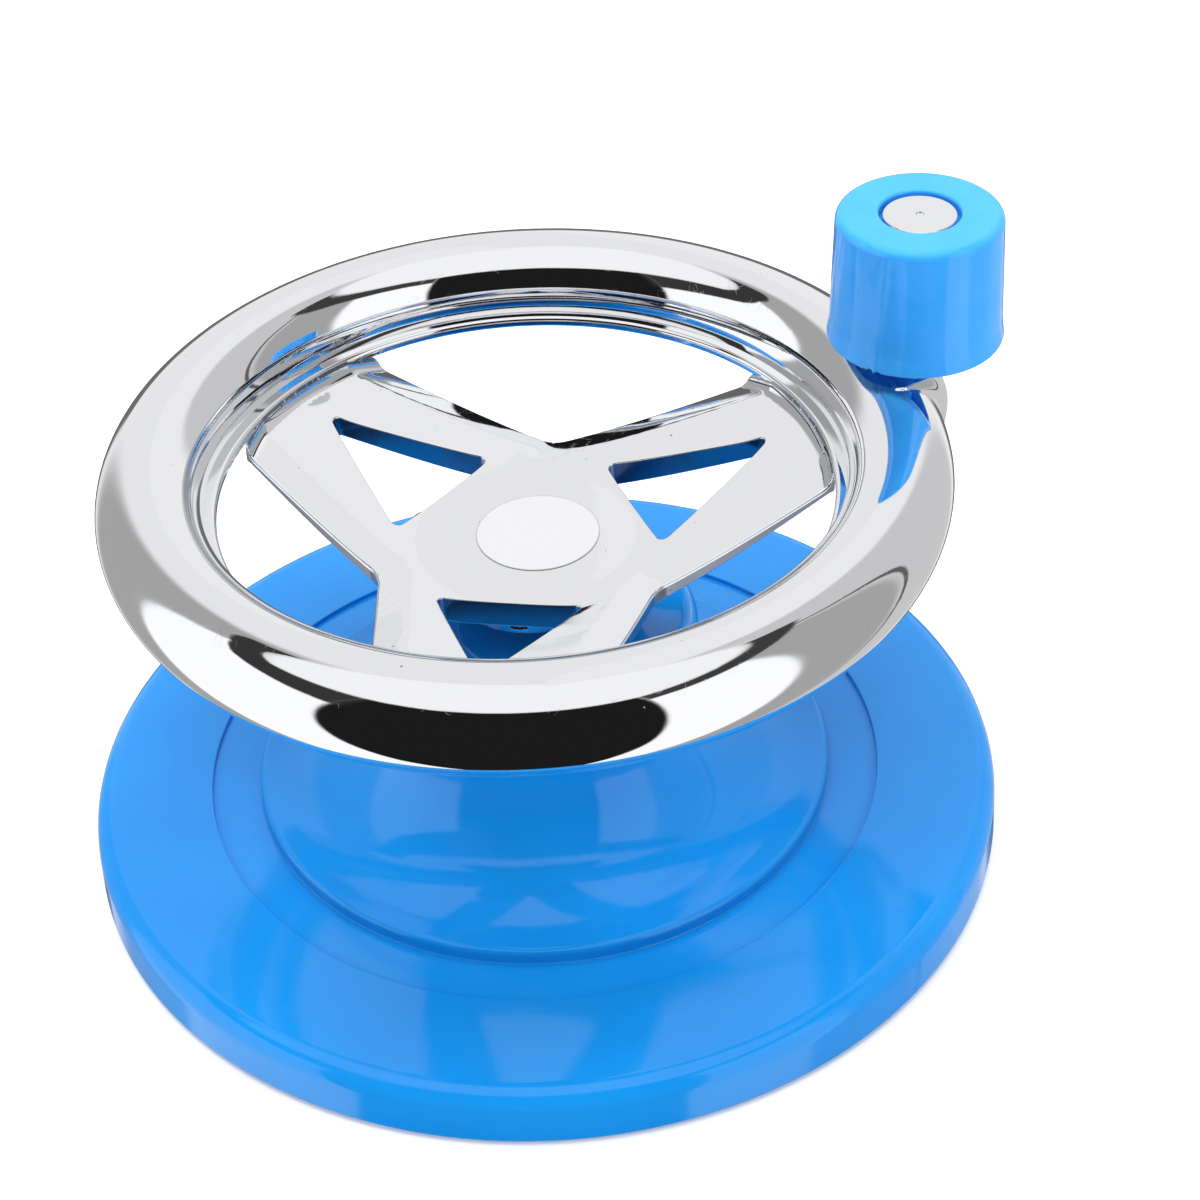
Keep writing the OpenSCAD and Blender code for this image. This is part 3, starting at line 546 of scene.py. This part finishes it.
def from_axis(tree, place, axis):
    """Moves a pattern to an upright axis at (x, y), and gives the distance from it and the height."""
    place = wire(tree, "ShaderNodeMapping", {"Vector": place, "Location": (-axis[0], -axis[1], 0)}).outputs[0]
    parts = wire(tree, "ShaderNodeSeparateXYZ", {0: place}).outputs
    squares = [sums(tree, "MULTIPLY", parts[letter], parts[letter]) for letter in "XY"]
    return place, sums(tree, "SQRT", sums(tree, "ADD", *squares)), parts["Z"]


def turned_metal(name, colour, other, axis, rough=(0.16, 0.32)):
    """Lathe marks run round an axis that stands at (x, y)."""
    made, tree, shader, place = finish(name, colour, rough[0], metal=1.0)
    place, radius, height = from_axis(tree, place, axis)
    rings = wire(tree, "ShaderNodeCombineXYZ", {"X": radius, "Z": height}).outputs[0]
    marks = noise(tree, rings, 0.25, 2.0)
    stain = noise(tree, place, 7.0)
    tinted(tree, shader, fade(tree, stain, 0.35, 0.7), colour, other)
    worn = sums(tree, "ADD", sums(tree, "MULTIPLY", marks, 0.6), sums(tree, "MULTIPLY", stain, 0.4))
    roughened(tree, shader, worn, *rough)
    bumped(tree, shader, (marks, 0.01))
    return made


bronze = sintered_bronze()
bright_steel = turned_metal("bright_steel", (0.60, 0.61, 0.63), (0.50, 0.51, 0.53), (0, 0))
shaft_r, bush_bore, bush_r, flange_r, collar_r = 7, 7.05, 11, 15, 13
bush_foot, flange_z, flange_top, collar_z, boss_z = 62, 84, 86.5, 86.8, 91
upper_bush = turned("upper_bush", rounded([
    (bush_bore, bush_foot, 0.3), (bush_r, bush_foot, 0.4), (bush_r, flange_z, 0), (flange_r, flange_z, 0.2),
    (flange_r, flange_top, 0.5), (bush_bore, flange_top, 0.5)]), bronze, segments=96)
collar = turned("collar", rounded([
    (shaft_r, collar_z, 0.2), (collar_r, collar_z, 0.5), (collar_r, boss_z, 0.3), (shaft_r, boss_z, 0)]),
                bright_steel, segments=96)
for piece, body, node, slot in ((upper_bush, "stand", "top_bush", "bronze"),
                                (collar, "wheel", "shaft_collar", "steel")):
    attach(piece, body)
    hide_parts(node)


# ---- Outlet ----
# A turned brass socket in the back of the skirt, threaded inside for a hose or a ball needle. It is
# pressed into the moulding, and only its lip shows.
brass = turned_metal("turned_brass", (0.62, 0.44, 0.17), (0.52, 0.35, 0.12), (0, 0), (0.14, 0.28))
socket_low, socket_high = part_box("outlet_socket")
air_z = (socket_low.z + socket_high.z) * 500
mouth = socket_high.y * 1000
crest_r, root_r, thread_z, pitch, bore_l = 3.85, 4.35, 1.4, 0.85, 12
body_r, body_l, pipe_r, pipe_l = 5.3, 16, 2.5, 24
threads = []
for k in range(12):
    threads += [(crest_r, thread_z + k * pitch), (root_r, thread_z + (k + 0.5) * pitch)]
socket_outline = rounded([(0, bore_l, 0), (3.4, bore_l, 0)], closed=False) + threads[::-1]
socket_outline += rounded([(crest_r, 1.2, 0), (crest_r, 0, 0.5), (body_r, 0, 0.5), (body_r, body_l, 0.3),
                           (pipe_r, body_l, 0), (pipe_r, pipe_l, 0.3), (0, pipe_l, 0)], closed=False)
socket = turned("socket", socket_outline, brass, segments=72, closed=False)
lying = Matrix.Rotation(math.pi / 2, 4, "X")
socket.data.transform(Matrix.Translation((0, mouth * 0.001, air_z * 0.001)) @ lying)
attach(socket, "stand")
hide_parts("outlet_socket")


# ---- Wheel rim ----
# A thin zinc casting with mirror chrome on it: a fat round tube, a solid lug that grows out of it to
# carry the crank knob, and a narrow lip on its inner side that the web runs into.
def mirror_chrome(name, pits=0.05, wear=0.5, base=(0.88, 0.885, 0.90), rough=(0.025, 0.17)):
    """Chrome with pits in the plating, hairlines from use, and a little haze."""
    made, tree, shader, place = finish(name, base, 0.03, metal=1.0)
    small = specks(tree, place, 3.2, pits, 0.10)
    large = sums(tree, "MULTIPLY", specks(tree, place, 8.0, pits * 1.6, 0.07),
                 fade(tree, noise(tree, place, 30.0), 0.45, 0.6))
    pitted = sums(tree, "MINIMUM", 1.0, sums(tree, "ADD", sums(tree, "MULTIPLY", small, 0.55), large))
    tinted(tree, shader, pitted, base, (0.12, 0.12, 0.12))
    hairs = rubbed(tree, place, (6.0, 0.9, 0.003), (8.0, 2.4, 0.003))
    haze = fade(tree, noise(tree, place, 14.0, 4.0), 0.45, 0.75)
    worn = sums(tree, "ADD", sums(tree, "MULTIPLY", haze, 0.35),
                sums(tree, "ADD", sums(tree, "MULTIPLY", hairs, wear), pitted))
    roughened(tree, shader, worn, *rough)
    bumped(tree, shader, (noise(tree, place, 16.0, 1.0), 0.05), (noise(tree, place, 3.0, 2.0), 0.004),
           (pitted, -0.05), (hairs, -0.003))
    return made


rim_low, rim_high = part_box("wheel_rim")
tube, tube_mid = 16.0, -rim_low.x * 1000 - 16.0
rim_z = rim_low.z * 1000 + tube
lug_end = rim_high.x * 1000
knob_x = (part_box("knob")[0].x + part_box("knob")[1].x) * 500


def lug_reach(angle):
    """How far the lug stands out from the middle of the tube, at an angle from the knob."""
    best = 0.0
    radius, centre = lug_end - knob_x, knob_x
    half = centre * abs(math.sin(angle))
    if half < radius:
        best = centre * math.cos(angle) + math.sqrt(radius * radius - half * half) - tube_mid
    # Its sides run straight from a wide root in the tube to the round end.
    root_x, root_half, end_x, end_half = tube_mid, 25.0, centre + radius * 0.3, radius * 0.95
    taper = (root_half - end_half) / (end_x - root_x)
    meet = (root_half + root_x * taper) / (math.tan(abs(angle)) + taper)
    if root_x < meet <= end_x:
        best = max(best, meet / math.cos(angle) - tube_mid)
    return best


# The tube and the lug are one grid of points, round the axis and round the tube, finer at the lug.
near = np.radians(np.arange(-15, 15.01, 0.14))
far = np.radians(np.arange(15.8, 344.5, 0.85))
columns = np.concatenate([near, far])
rows = np.linspace(0, 2 * math.pi, 144, endpoint=False)
reach = np.array([lug_reach(a) for a in columns])
soft = np.hanning(9) / np.hanning(9).sum()
reach[:len(near)] = np.convolve(np.pad(reach[:len(near)], 4, mode="edge"), soft, "valid")
out, up = np.cos(rows)[None, :], np.sin(rows)[None, :]
upper, lower, squareness, blend = 16.5, 12.4, 9, 5.0
flat = np.where(up > 0, upper, lower)
stretch = np.maximum(reach, 0.5)[:, None]
boxed = (np.abs(np.maximum(out, 0) / stretch) ** squareness + np.abs(up / flat) ** squareness + 1e-12)
boxed = np.where(out > 0.02, boxed ** (-1 / squareness), 0.0) * np.clip(reach / 4, 0, 1)[:, None]
overlap = np.maximum(blend - np.abs(boxed - tube), 0) / blend
thick = np.maximum(boxed, tube) + overlap ** 2 * blend / 4 * np.clip(reach / 8, 0, 1)[:, None]
thick = np.minimum(thick, np.where(up > 0.3, upper / np.maximum(up, 1e-6), 1e9))
thick = np.minimum(thick, np.where(out > 0.3, (lug_end - tube_mid) / np.maximum(out, 1e-6), 1e9))
around_r = tube_mid + thick * out
points = np.stack([around_r * np.cos(columns)[:, None], around_r * np.sin(columns)[:, None],
                   rim_z + thick * up], axis=-1)
count, ring = points.shape[:2]
faces = []
for i in range(count):
    this, following = i * ring, (i + 1) % count * ring
    faces += [(this + j, following + j, following + (j + 1) % ring, this + (j + 1) % ring)
              for j in range(ring)]
along = np.roll(points, -1, 0) - np.roll(points, 1, 0)
round_tube = np.roll(points, -1, 1) - np.roll(points, 1, 1)
normals = np.cross(along, round_tube).reshape(-1, 3)
mesh = bpy.data.meshes.new("rim")
mesh.from_pydata((points * 0.001).reshape(-1, 3).tolist(), [], faces)
mesh.shade_smooth()
polished(mesh, normals)
chrome = mirror_chrome("mirror_chrome")
mesh.materials.append(chrome)
rim = shown("rim", mesh)
lip_in, lip_out, lip_top = 94.5, 101.5, 130.5
lip = turned("rim_lip", rounded([(lip_in, 127.2, 0.9), (lip_out, 125.6, 0.4), (lip_out, lip_top, 0.4),
                                 (lip_in, lip_top, 1.5)]), chrome, segments=384)
for piece in (rim, lip):
    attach(piece, "wheel")
    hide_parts("wheel_rim")


# ---- Wheel web ----
# The dished hub and its three forked spokes, cast and chromed in one with the rim. Each spoke has a
# three-cornered window; its outer margins slope down softly, and the windows' edges are crisp.
spoke_turn, third = math.radians(3), 2 * math.pi / 3
hub_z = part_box("hub_label")[0].z * 1000
hub_r, rise_r, web_rise = 38.0, lip_in - 1, 14.5
gap_mid, gap_round, gap_side = 62.0, 12.0, math.radians(-10)
window = [Vector((37, -19.62)), Vector((78.34, 0)), Vector((37, 19.62))]
window_round, gap_edge, window_edge = 2.0, 0.8, 0.45


def folded(x, y):
    """Brings a point of the web into the first spoke, whose middle lies along +X."""
    angle = np.arctan2(y, x) - spoke_turn
    angle = np.abs(angle - np.round(angle / third) * third)
    radius = np.hypot(x, y)
    return radius * np.cos(angle), radius * np.sin(angle), radius


def from_gap(x, y):
    """Distance from the open gap beside the spoke."""
    cx, cy = gap_mid * math.cos(third / 2), gap_mid * math.sin(third / 2)
    vx, vy = x - cx, y - cy
    along_side = vx * math.cos(gap_side) + vy * math.sin(gap_side)
    off_side = vx * math.sin(gap_side) - vy * math.cos(gap_side)
    return np.where(along_side > 0, off_side, np.hypot(vx, vy)) - gap_round


def from_window(x, y):
    """Distance from the spoke's window, negative inside it."""
    nearest, inside = np.full(np.shape(x), 1e9), np.ones(np.shape(x), bool)
    for a, b in zip(window, window[1:] + window[:1]):
        ex, ey = b.x - a.x, b.y - a.y
        t = np.clip(((x - a.x) * ex + (y - a.y) * ey) / (ex * ex + ey * ey), 0, 1)
        nearest = np.minimum(nearest, np.hypot(x - a.x - t * ex, y - a.y - t * ey))
        inside &= ex * (y - a.y) - ey * (x - a.x) > 0
    return np.where(inside, -nearest, nearest) - window_round


def edge_round(distance, rounding):
    """How far a rounded edge lies below the face it ends."""
    left = np.clip(rounding - distance, 0, rounding)
    return rounding - np.sqrt(np.maximum(rounding * rounding - left * left, 0))


def web_top(x, y):
    """Height of the web's upper face: a dish, with its margins, a swelling at each window's tip and
    a climb into the lip."""
    soft, margin_w, margin_slope, swell_h, swell_at, climb_r = 5, 11.0, 0.34, 0.9, 84, 3.5
    fx, fy, radius = folded(x, y)
    ramp = np.clip((radius - hub_r + soft) / (2 * soft), 0, 1)
    dish = 2 * soft * ramp ** 2 / 2 + np.maximum(radius - hub_r - soft, 0)
    dish = web_rise / (rise_r - hub_r) * dish
    gap, opening = from_gap(fx, fy), from_window(fx, fy)
    margin = np.maximum(margin_w - gap, 0)
    roll_over = margin_slope * margin ** 2 / (margin + 1.4)
    swell = swell_h * np.exp(-((fx - swell_at) / 6.0) ** 2 - (fy / 9.0) ** 2)
    climb = edge_round(lip_in - radius, climb_r)
    return (hub_z + dish - roll_over + swell + climb - edge_round(gap, gap_edge)
            - edge_round(opening, window_edge))


def web_under(x, y):
    """Height of its lower face."""
    hub_thick, thinner = 9, 3
    fx, fy, radius = folded(x, y)
    slope = np.clip((radius - hub_r) / (rise_r - hub_r), 0, 1)
    return (hub_z - hub_thick + slope * (web_rise + thinner) + edge_round(from_gap(fx, fy), gap_edge)
            + edge_round(from_window(fx, fy), window_edge))


def spaced(a, b, step):
    """Points from a towards b, without b."""
    steps = max(1, math.ceil(math.dist(a, b) / step))
    return [(a[0] + (b[0] - a[0]) * k / steps, a[1] + (b[1] - a[1]) * k / steps) for k in range(steps)]


# The outline of one spoke's third of the web, and its window's, both anticlockwise.
ray = (math.cos(third / 2), math.sin(third / 2))
gap_end = (gap_mid * ray[0] + gap_round * math.sin(gap_side), gap_mid * ray[1] - gap_round * math.cos(gap_side))
reach_out = lip_in + 0.6
along_end = gap_end[0] * math.cos(gap_side) + gap_end[1] * math.sin(gap_side)
run = -along_end + math.sqrt(along_end ** 2 + reach_out ** 2 - gap_end[0] ** 2 - gap_end[1] ** 2)
tip = (gap_end[0] + run * math.cos(gap_side), gap_end[1] + run * math.sin(gap_side))
tip_angle = math.degrees(math.atan2(tip[1], tip[0]))
half_edge = spaced((0, 0), (ray[0] * (gap_mid - gap_round), ray[1] * (gap_mid - gap_round)), 1.6)
half_edge += bow((gap_mid * ray[0], gap_mid * ray[1]), gap_round, 240, 260, 8)[:-1]
half_edge += spaced(gap_end, tip, 0.8)
border = [(x, -y) for x, y in half_edge] + bow((0, 0), reach_out, -tip_angle, tip_angle, 60)
border += half_edge[:0:-1]
hole = []
for k, corner in enumerate(window):
    before, after = window[k - 1], window[(k + 1) % 3]
    first = math.atan2(before.x - corner.x, corner.y - before.y)
    last = math.atan2(corner.x - after.x, after.y - corner.y)
    last += 2 * math.pi * (last < first)
    hole.append((corner, math.degrees(first), math.degrees(last)))
hole_edge = []
for k, (corner, first, last) in enumerate(hole):
    hole_edge += bow(corner, window_round, first, last, 8)
    following = hole[(k + 1) % 3]
    start = hole_edge[-1]
    stop = bow(following[0], window_round, following[1], following[1] + 1, 1)[0]
    hole_edge += spaced(start, stop, 0.8)[1:]
# Points inside it: rows that follow the rounded edges, and a plain grid between them.
fill = []
for loop, inward, offsets in ((border, 1, (0.18, 0.45, 0.8, 1.5)), (hole_edge, -1, (0.12, 0.28, 0.45, 1.0))):
    for k, point in enumerate(loop):
        before, after = loop[k - 1], loop[(k + 1) % len(loop)]
        run_x, run_y = after[0] - before[0], after[1] - before[1]
        length = math.hypot(run_x, run_y)
        off_x, off_y = -run_y / length * inward, run_x / length * inward
        fill += [(point[0] + off_x * offset, point[1] + off_y * offset, offset) for offset in offsets]
grid, row_step = 1.6, 1.39
for row in range(-60, 61):
    fill += [((column + row % 2 / 2) * grid, row * row_step, 1.9) for column in range(0, 62)]
fill = np.array(fill)
gap = from_gap(fill[:, 0], np.abs(fill[:, 1]))
opening = from_window(fill[:, 0], np.abs(fill[:, 1]))
radius = np.hypot(fill[:, 0], fill[:, 1])
inside = np.abs(fill[:, 1]) * ray[0] < fill[:, 0] * ray[1] - 0.15
keep = inside & (gap > fill[:, 2] * 0.93) & (opening > fill[:, 2] * 0.93) & (radius < reach_out - 0.3)
fill = fill[keep][:, :2].tolist()
flat_points = [Vector(p) for p in border + hole_edge + fill]
first_hole = len(border)
rings = [(i, (i + 1) % first_hole) for i in range(first_hole)]
rings += [(first_hole + i, first_hole + (i + 1) % len(hole_edge)) for i in range(len(hole_edge))]
cut_points, _, triangles, _, _, _ = delaunay_2d_cdt(flat_points, rings, [list(range(first_hole))], 1, 1e-5)
xy = np.array([tuple(p) for p in cut_points])
middle = np.array([xy[list(t)].mean(0) for t in triangles])
triangles = [t for t, inner in zip(triangles, from_window(middle[:, 0], np.abs(middle[:, 1])) < 0) if not inner]
turned_xy = np.stack([xy[:, 0] * math.cos(spoke_turn) - xy[:, 1] * math.sin(spoke_turn),
                      xy[:, 0] * math.sin(spoke_turn) + xy[:, 1] * math.cos(spoke_turn)], axis=1)
over, under = web_top(*turned_xy.T), web_under(*turned_xy.T)
total = len(xy)
used = {}
for a, b, c in triangles:
    for edge in ((a, b), (b, c), (c, a)):
        used[edge] = used.get(edge, 0) + 1
open_edges = [e for e in used if (e[1], e[0]) not in used]
seam = np.abs(np.abs(xy[:, 1]) * ray[0] - xy[:, 0] * ray[1]) < 1e-4
faces = [tuple(t) for t in triangles] + [tuple(i + total for i in reversed(t)) for t in triangles]
faces += [(b, a, a + total, b + total) for a, b in open_edges if not (seam[a] and seam[b])]
mesh = bpy.data.meshes.new("web")
mesh.from_pydata([(x * 0.001, y * 0.001, z * 0.001) for (x, y), z in zip(turned_xy, over)]
                 + [(x * 0.001, y * 0.001, z * 0.001) for (x, y), z in zip(turned_xy, under)], [], faces)
mesh.shade_smooth()
web = shown("web", mesh)
grown(web, around, **{"Count": 3, "Distance": 0.0, "First Turn": 0.0, "Finish": chrome})
outward(web.data)
count = len(web.data.vertices)
# Mirror-like faces show the least unevenness, so they are shaded by the exact slope of the surface.
corners = np.array([tuple(v.co) for v in web.data.vertices]) * 1000
normals = np.zeros((count, 3))
for face in web.data.polygons:
    normals[list(face.vertices)] += np.array(face.normal) * face.area
x, y = corners[:, 0], corners[:, 1]
fx, fy, radius = folded(x, y)
off_edge = (from_gap(fx, fy) > 0.7) & (from_window(fx, fy) > 0.4) & (radius < reach_out - 0.1)
dab = 0.02
for surface, sense in ((web_top, 1), (web_under, -1)):
    here = (np.abs(corners[:, 2] - surface(x, y)) < 0.01) & off_edge
    slope_x = (surface(x + dab, y) - surface(x - dab, y)) / (2 * dab)
    slope_y = (surface(x, y + dab) - surface(x, y - dab)) / (2 * dab)
    exact = np.stack([-slope_x, -slope_y, np.ones(count)], axis=1) * sense
    normals[here] = exact[here]
polished(web.data, normals)
# The walls of the windows and gaps stay upright right up to their crisp edges; the polishing wheel
# doesn't reach them, so the chrome there is dull. Its colour is darkened and tinted blue as painted shade and a
# painted reflection of the blue stand.
by_corner = np.zeros(len(web.data.loops) * 3)
web.data.corner_normals.foreach_get("vector", by_corner)
by_corner = by_corner.reshape(-1, 3)
# Painted shade: the walls get a darker, blue-tinted copy of the chrome, standing in for the dark and blue
# surroundings they reflect.
wall_chrome_painted_dark = mirror_chrome("chromed_wall_painted_shade", base=(0.30, 0.32, 0.38), rough=(0.16, 0.34))
web.data.materials.append(wall_chrome_painted_dark)
for face in web.data.polygons:
    if abs(face.normal.z) < 0.3:
        by_corner[list(face.loop_indices)] = np.array(face.normal)
        face.material_index = len(web.data.materials) - 1
web.data.normals_split_custom_set(by_corner.tolist())
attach(web, "wheel")
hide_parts("wheel_web")


# ---- Hub boss and label ----
# The boss under the hub is clamped to the shaft by a grub screw in its side. A plain round sticker
# with a thin grey edge lies on the hub, a little off its middle.
boss_r, boss_top, grub_r, grub_z, grub_l = 25, 103.5, 0.0028, 0.098, 0.02
boss = turned("hub_boss", rounded([(shaft_r, boss_z, 0.4), (boss_r, boss_z, 1.2), (boss_r, boss_top, 0),
                                   (shaft_r, boss_top, 0)]), chrome, segments=160)
grub_turn = Matrix.Rotation(math.radians(243), 4, "Z")
grub_place = grub_turn @ Matrix.Translation((0.0275, 0, grub_z)) @ Matrix.Rotation(math.pi / 2, 4, "Y")
bore = bmesh.new()
bmesh.ops.create_cone(bore, cap_ends=True, segments=32, radius1=grub_r, radius2=grub_r, depth=grub_l,
                      matrix=grub_place)
carved(boss, bore)
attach(boss, "wheel")
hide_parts("wheel_web")

label_low, label_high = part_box("hub_label")
label_x, label_y = (label_low.x + label_high.x) * 500, (label_low.y + label_high.y) * 500
label_r = (label_high.x - label_low.x) * 500


def sticker_film():
    film, grey = (0.50, 0.50, 0.51), (0.27, 0.26, 0.25)
    made, tree, shader, place = finish("sticker_film", film, 0.3)
    radius = from_axis(tree, place, (label_x, label_y))[1]
    edge = sums(tree, "MULTIPLY", fade(tree, radius, label_r - 0.42, label_r - 0.2), 0.75)
    grubby = sums(tree, "MULTIPLY", fade(tree, noise(tree, place, 5.0, 4.0), 0.6, 0.8), 0.12)
    tinted(tree, shader, sums(tree, "MAXIMUM", edge, grubby), film, grey)
    roughened(tree, shader, noise(tree, place, 9.0), 0.25, 0.4)
    bumped(tree, shader, (noise(tree, place, 0.6, 3.0), 0.004), (noise(tree, place, 14.0, 1.0), 0.04))
    return made


label_outline = rounded([(0, hub_z - 0.05, 0), (label_r, hub_z - 0.05, 0), (label_r, hub_z + 0.24, 0.12),
                         (0, hub_z + 0.3, 0)], closed=False)
label = turned("sticker", label_outline, sticker_film(), axis=(label_x, label_y), segments=160,
               closed=False)
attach(label, "wheel")
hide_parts("hub_label")


# ---- Crank knob ----
# A hollow blue moulding that turns on a chromed pin. The pin's head is sunk in the knob's top, and a
# steel washer keeps the knob off the lug. The mould left a ragged bit of flash on the lower edge.
knob_low, knob_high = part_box("knob")
knob_foot, knob_top = knob_low.z * 1000, knob_high.z * 1000
flare = (knob_high.x - knob_low.x) * 500
knob_r, crown_r, head_well = flare - 0.8, flare - 2.0, 12.5
pin_bore, tube_r, hollow_r, hollow_top, well_floor = 6.05, 9, 22.6, 186, knob_top - 3.7
knob_outline = rounded([
    (pin_bore, knob_foot, 0), (tube_r, knob_foot, 0.3), (tube_r, hollow_top, 0), (hollow_r, hollow_top, 1.0),
    (knob_r - 3, knob_foot + 0.3, 0.3), (flare, knob_foot, 0.9), (knob_r, knob_foot + 6, 14),
    (crown_r, knob_top, 2.8), (head_well, knob_top, 0.9), (head_well, well_floor, 0.3),
    (pin_bore, well_floor, 0)])
# Painted light: the knob's blue is lighter than the stand's blue plastic, standing in for the stronger light
# that falls on the knob's top.
blue, deep = (0.045, 0.36, 0.92), (0.035, 0.34, 0.89)
knob_blue_painted_lit, tree, shader, place = finish("knob_blue_painted_lit", blue, 0.14)
milky(shader)
# The mould dragged upright streaks down its side.
streak_place = wire(tree, "ShaderNodeMapping", {
    "Vector": place, "Location": (-knob_x, 0, 0), "Scale": (1, 1, 0.08)}).outputs[0]
drag = noise(tree, streak_place, 5.0, 2.0)
tinted(tree, shader, fade(tree, noise(tree, place, 16.0), 0.3, 0.7), blue, deep)
rubs = scratches(tree, place, 5.0, 1.3, 0.004)
film = sums(tree, "ADD", sums(tree, "MULTIPLY", drag, 0.7), sums(tree, "MULTIPLY", rubs, 0.6))
roughened(tree, shader, film, 0.08, 0.24)
bumped(tree, shader, (drag, 0.10), (noise(tree, place, 9.0, 2.0), 0.08), (rubs, -0.004))
knob = turned("crank_knob", knob_outline, knob_blue_painted_lit, axis=(knob_x, 0), segments=256)
rng = np.random.default_rng(7)
ragged = rng.normal(0, 1, 256)
flash_turn, flash_half, flash_h = math.radians(-17.2 + 90 + 143), 0.16, 1.2
for corner in knob.data.vertices:
    dx, dy, z = corner.co.x * 1000 - knob_x, corner.co.y * 1000, corner.co.z * 1000
    angle = math.atan2(dy, dx)
    off = (angle - flash_turn + math.pi) % (2 * math.pi) - math.pi
    if abs(off) < flash_half and z < knob_foot + flash_h and math.hypot(dx, dy) > knob_r - 1:
        drawn = ragged[int((angle + math.pi) / (2 * math.pi) * 255)]
        bite = (1 - (off / flash_half) ** 2) * (0.35 + 0.3 * drawn)
        corner.co.z += 0.001 * max(-0.2, bite) * flash_h
        corner.co.x -= 0.001 * bite * 0.6 * dx / flare
        corner.co.y -= 0.001 * bite * 0.6 * dy / flare
polished(knob.data)
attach(knob, "knob")
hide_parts("knob")

pin_chrome = mirror_chrome("pin_chrome", pits=0.02, wear=0.9)
pin_foot, head_top = (corner.z * 1000 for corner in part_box("knob_pin"))
lug_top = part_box("knob_washer")[0].z * 1000
screw_r, pin_r, head_r, seat, washer_r, washer_h = 4, 6, 11.4, head_top - 2.6, 10, 2.2
pin_outline = rounded([(0, pin_foot, 0), (screw_r, pin_foot, 0.5), (screw_r, lug_top, 0), (pin_r, lug_top, 0),
                       (pin_r, seat, 0), (head_r, seat, 0.2), (head_r, head_top - 0.1, 0.55),
                       (1.3, head_top, 0.3), (1.1, head_top - 0.45, 0.2), (0, head_top - 0.7, 0)],
                      closed=False)
pin = turned("crank_pin", pin_outline, pin_chrome, axis=(knob_x, 0), segments=128, closed=False)
washer_steel = turned_metal("washer_steel", (0.60, 0.61, 0.63), (0.48, 0.49, 0.51), (knob_x, 0))
washer = turned("washer", rounded([
    (pin_r, lug_top, 0.2), (washer_r, lug_top, 0.4), (washer_r, lug_top + washer_h, 0.4),
    (pin_r, lug_top + washer_h, 0.2)]), washer_steel, axis=(knob_x, 0), segments=96)
for piece, node, slot in ((pin, "knob_pin", "chrome"), (washer, "knob_washer", "steel")):
    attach(piece, "wheel")
    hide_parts(node)


# ---- Works inside the stand ----
# The shaft, the nylon gear, the steel pinion and timing gears, and the cast blower keep their CAD
# shapes; they are bolted up inside and only get their finishes here.
def cast_alloy():
    made, tree, shader, place = finish("cast_alloy", (0.56, 0.57, 0.58), 0.42, metal=1.0)
    grain = noise(tree, place, 0.9, 4.0)
    tinted(tree, shader, grain, (0.48, 0.49, 0.50), (0.62, 0.63, 0.64))
    roughened(tree, shader, grain, 0.34, 0.55)
    bumped(tree, shader, (grain, 0.05), (noise(tree, place, 8.0), 0.1))
    return made


def natural_nylon():
    made, tree, shader, place = finish("natural_nylon", (0.80, 0.76, 0.66), 0.35)
    shader.inputs["Subsurface Weight"].default_value = 0.2
    shader.inputs["Subsurface Scale"].default_value = 0.002
    cloud = noise(tree, place, 8.0, 3.0)
    tinted(tree, shader, cloud, (0.82, 0.78, 0.69), (0.72, 0.67, 0.56))
    roughened(tree, shader, cloud, 0.28, 0.45)
    bumped(tree, shader, (noise(tree, place, 1.5), 0.02))
    return made


finishes = {"blue_plastic": stand_blue, "chrome": chrome, "label": label.data.materials[0],
            "steel": bright_steel, "zinc": zinc, "bronze": bronze, "brass": brass, "rubber": foot_rubber,
            "nylon": natural_nylon(), "alloy": cast_alloy(), "black_plastic": black_grain}
for part in frame["record"]["subparts"]:
    for slot in frame["nodes"][part["node"]].material_slots:
        slot.material = finishes[part["material_slot"]]


# ---- End ----
bpy.context.view_layer.update()
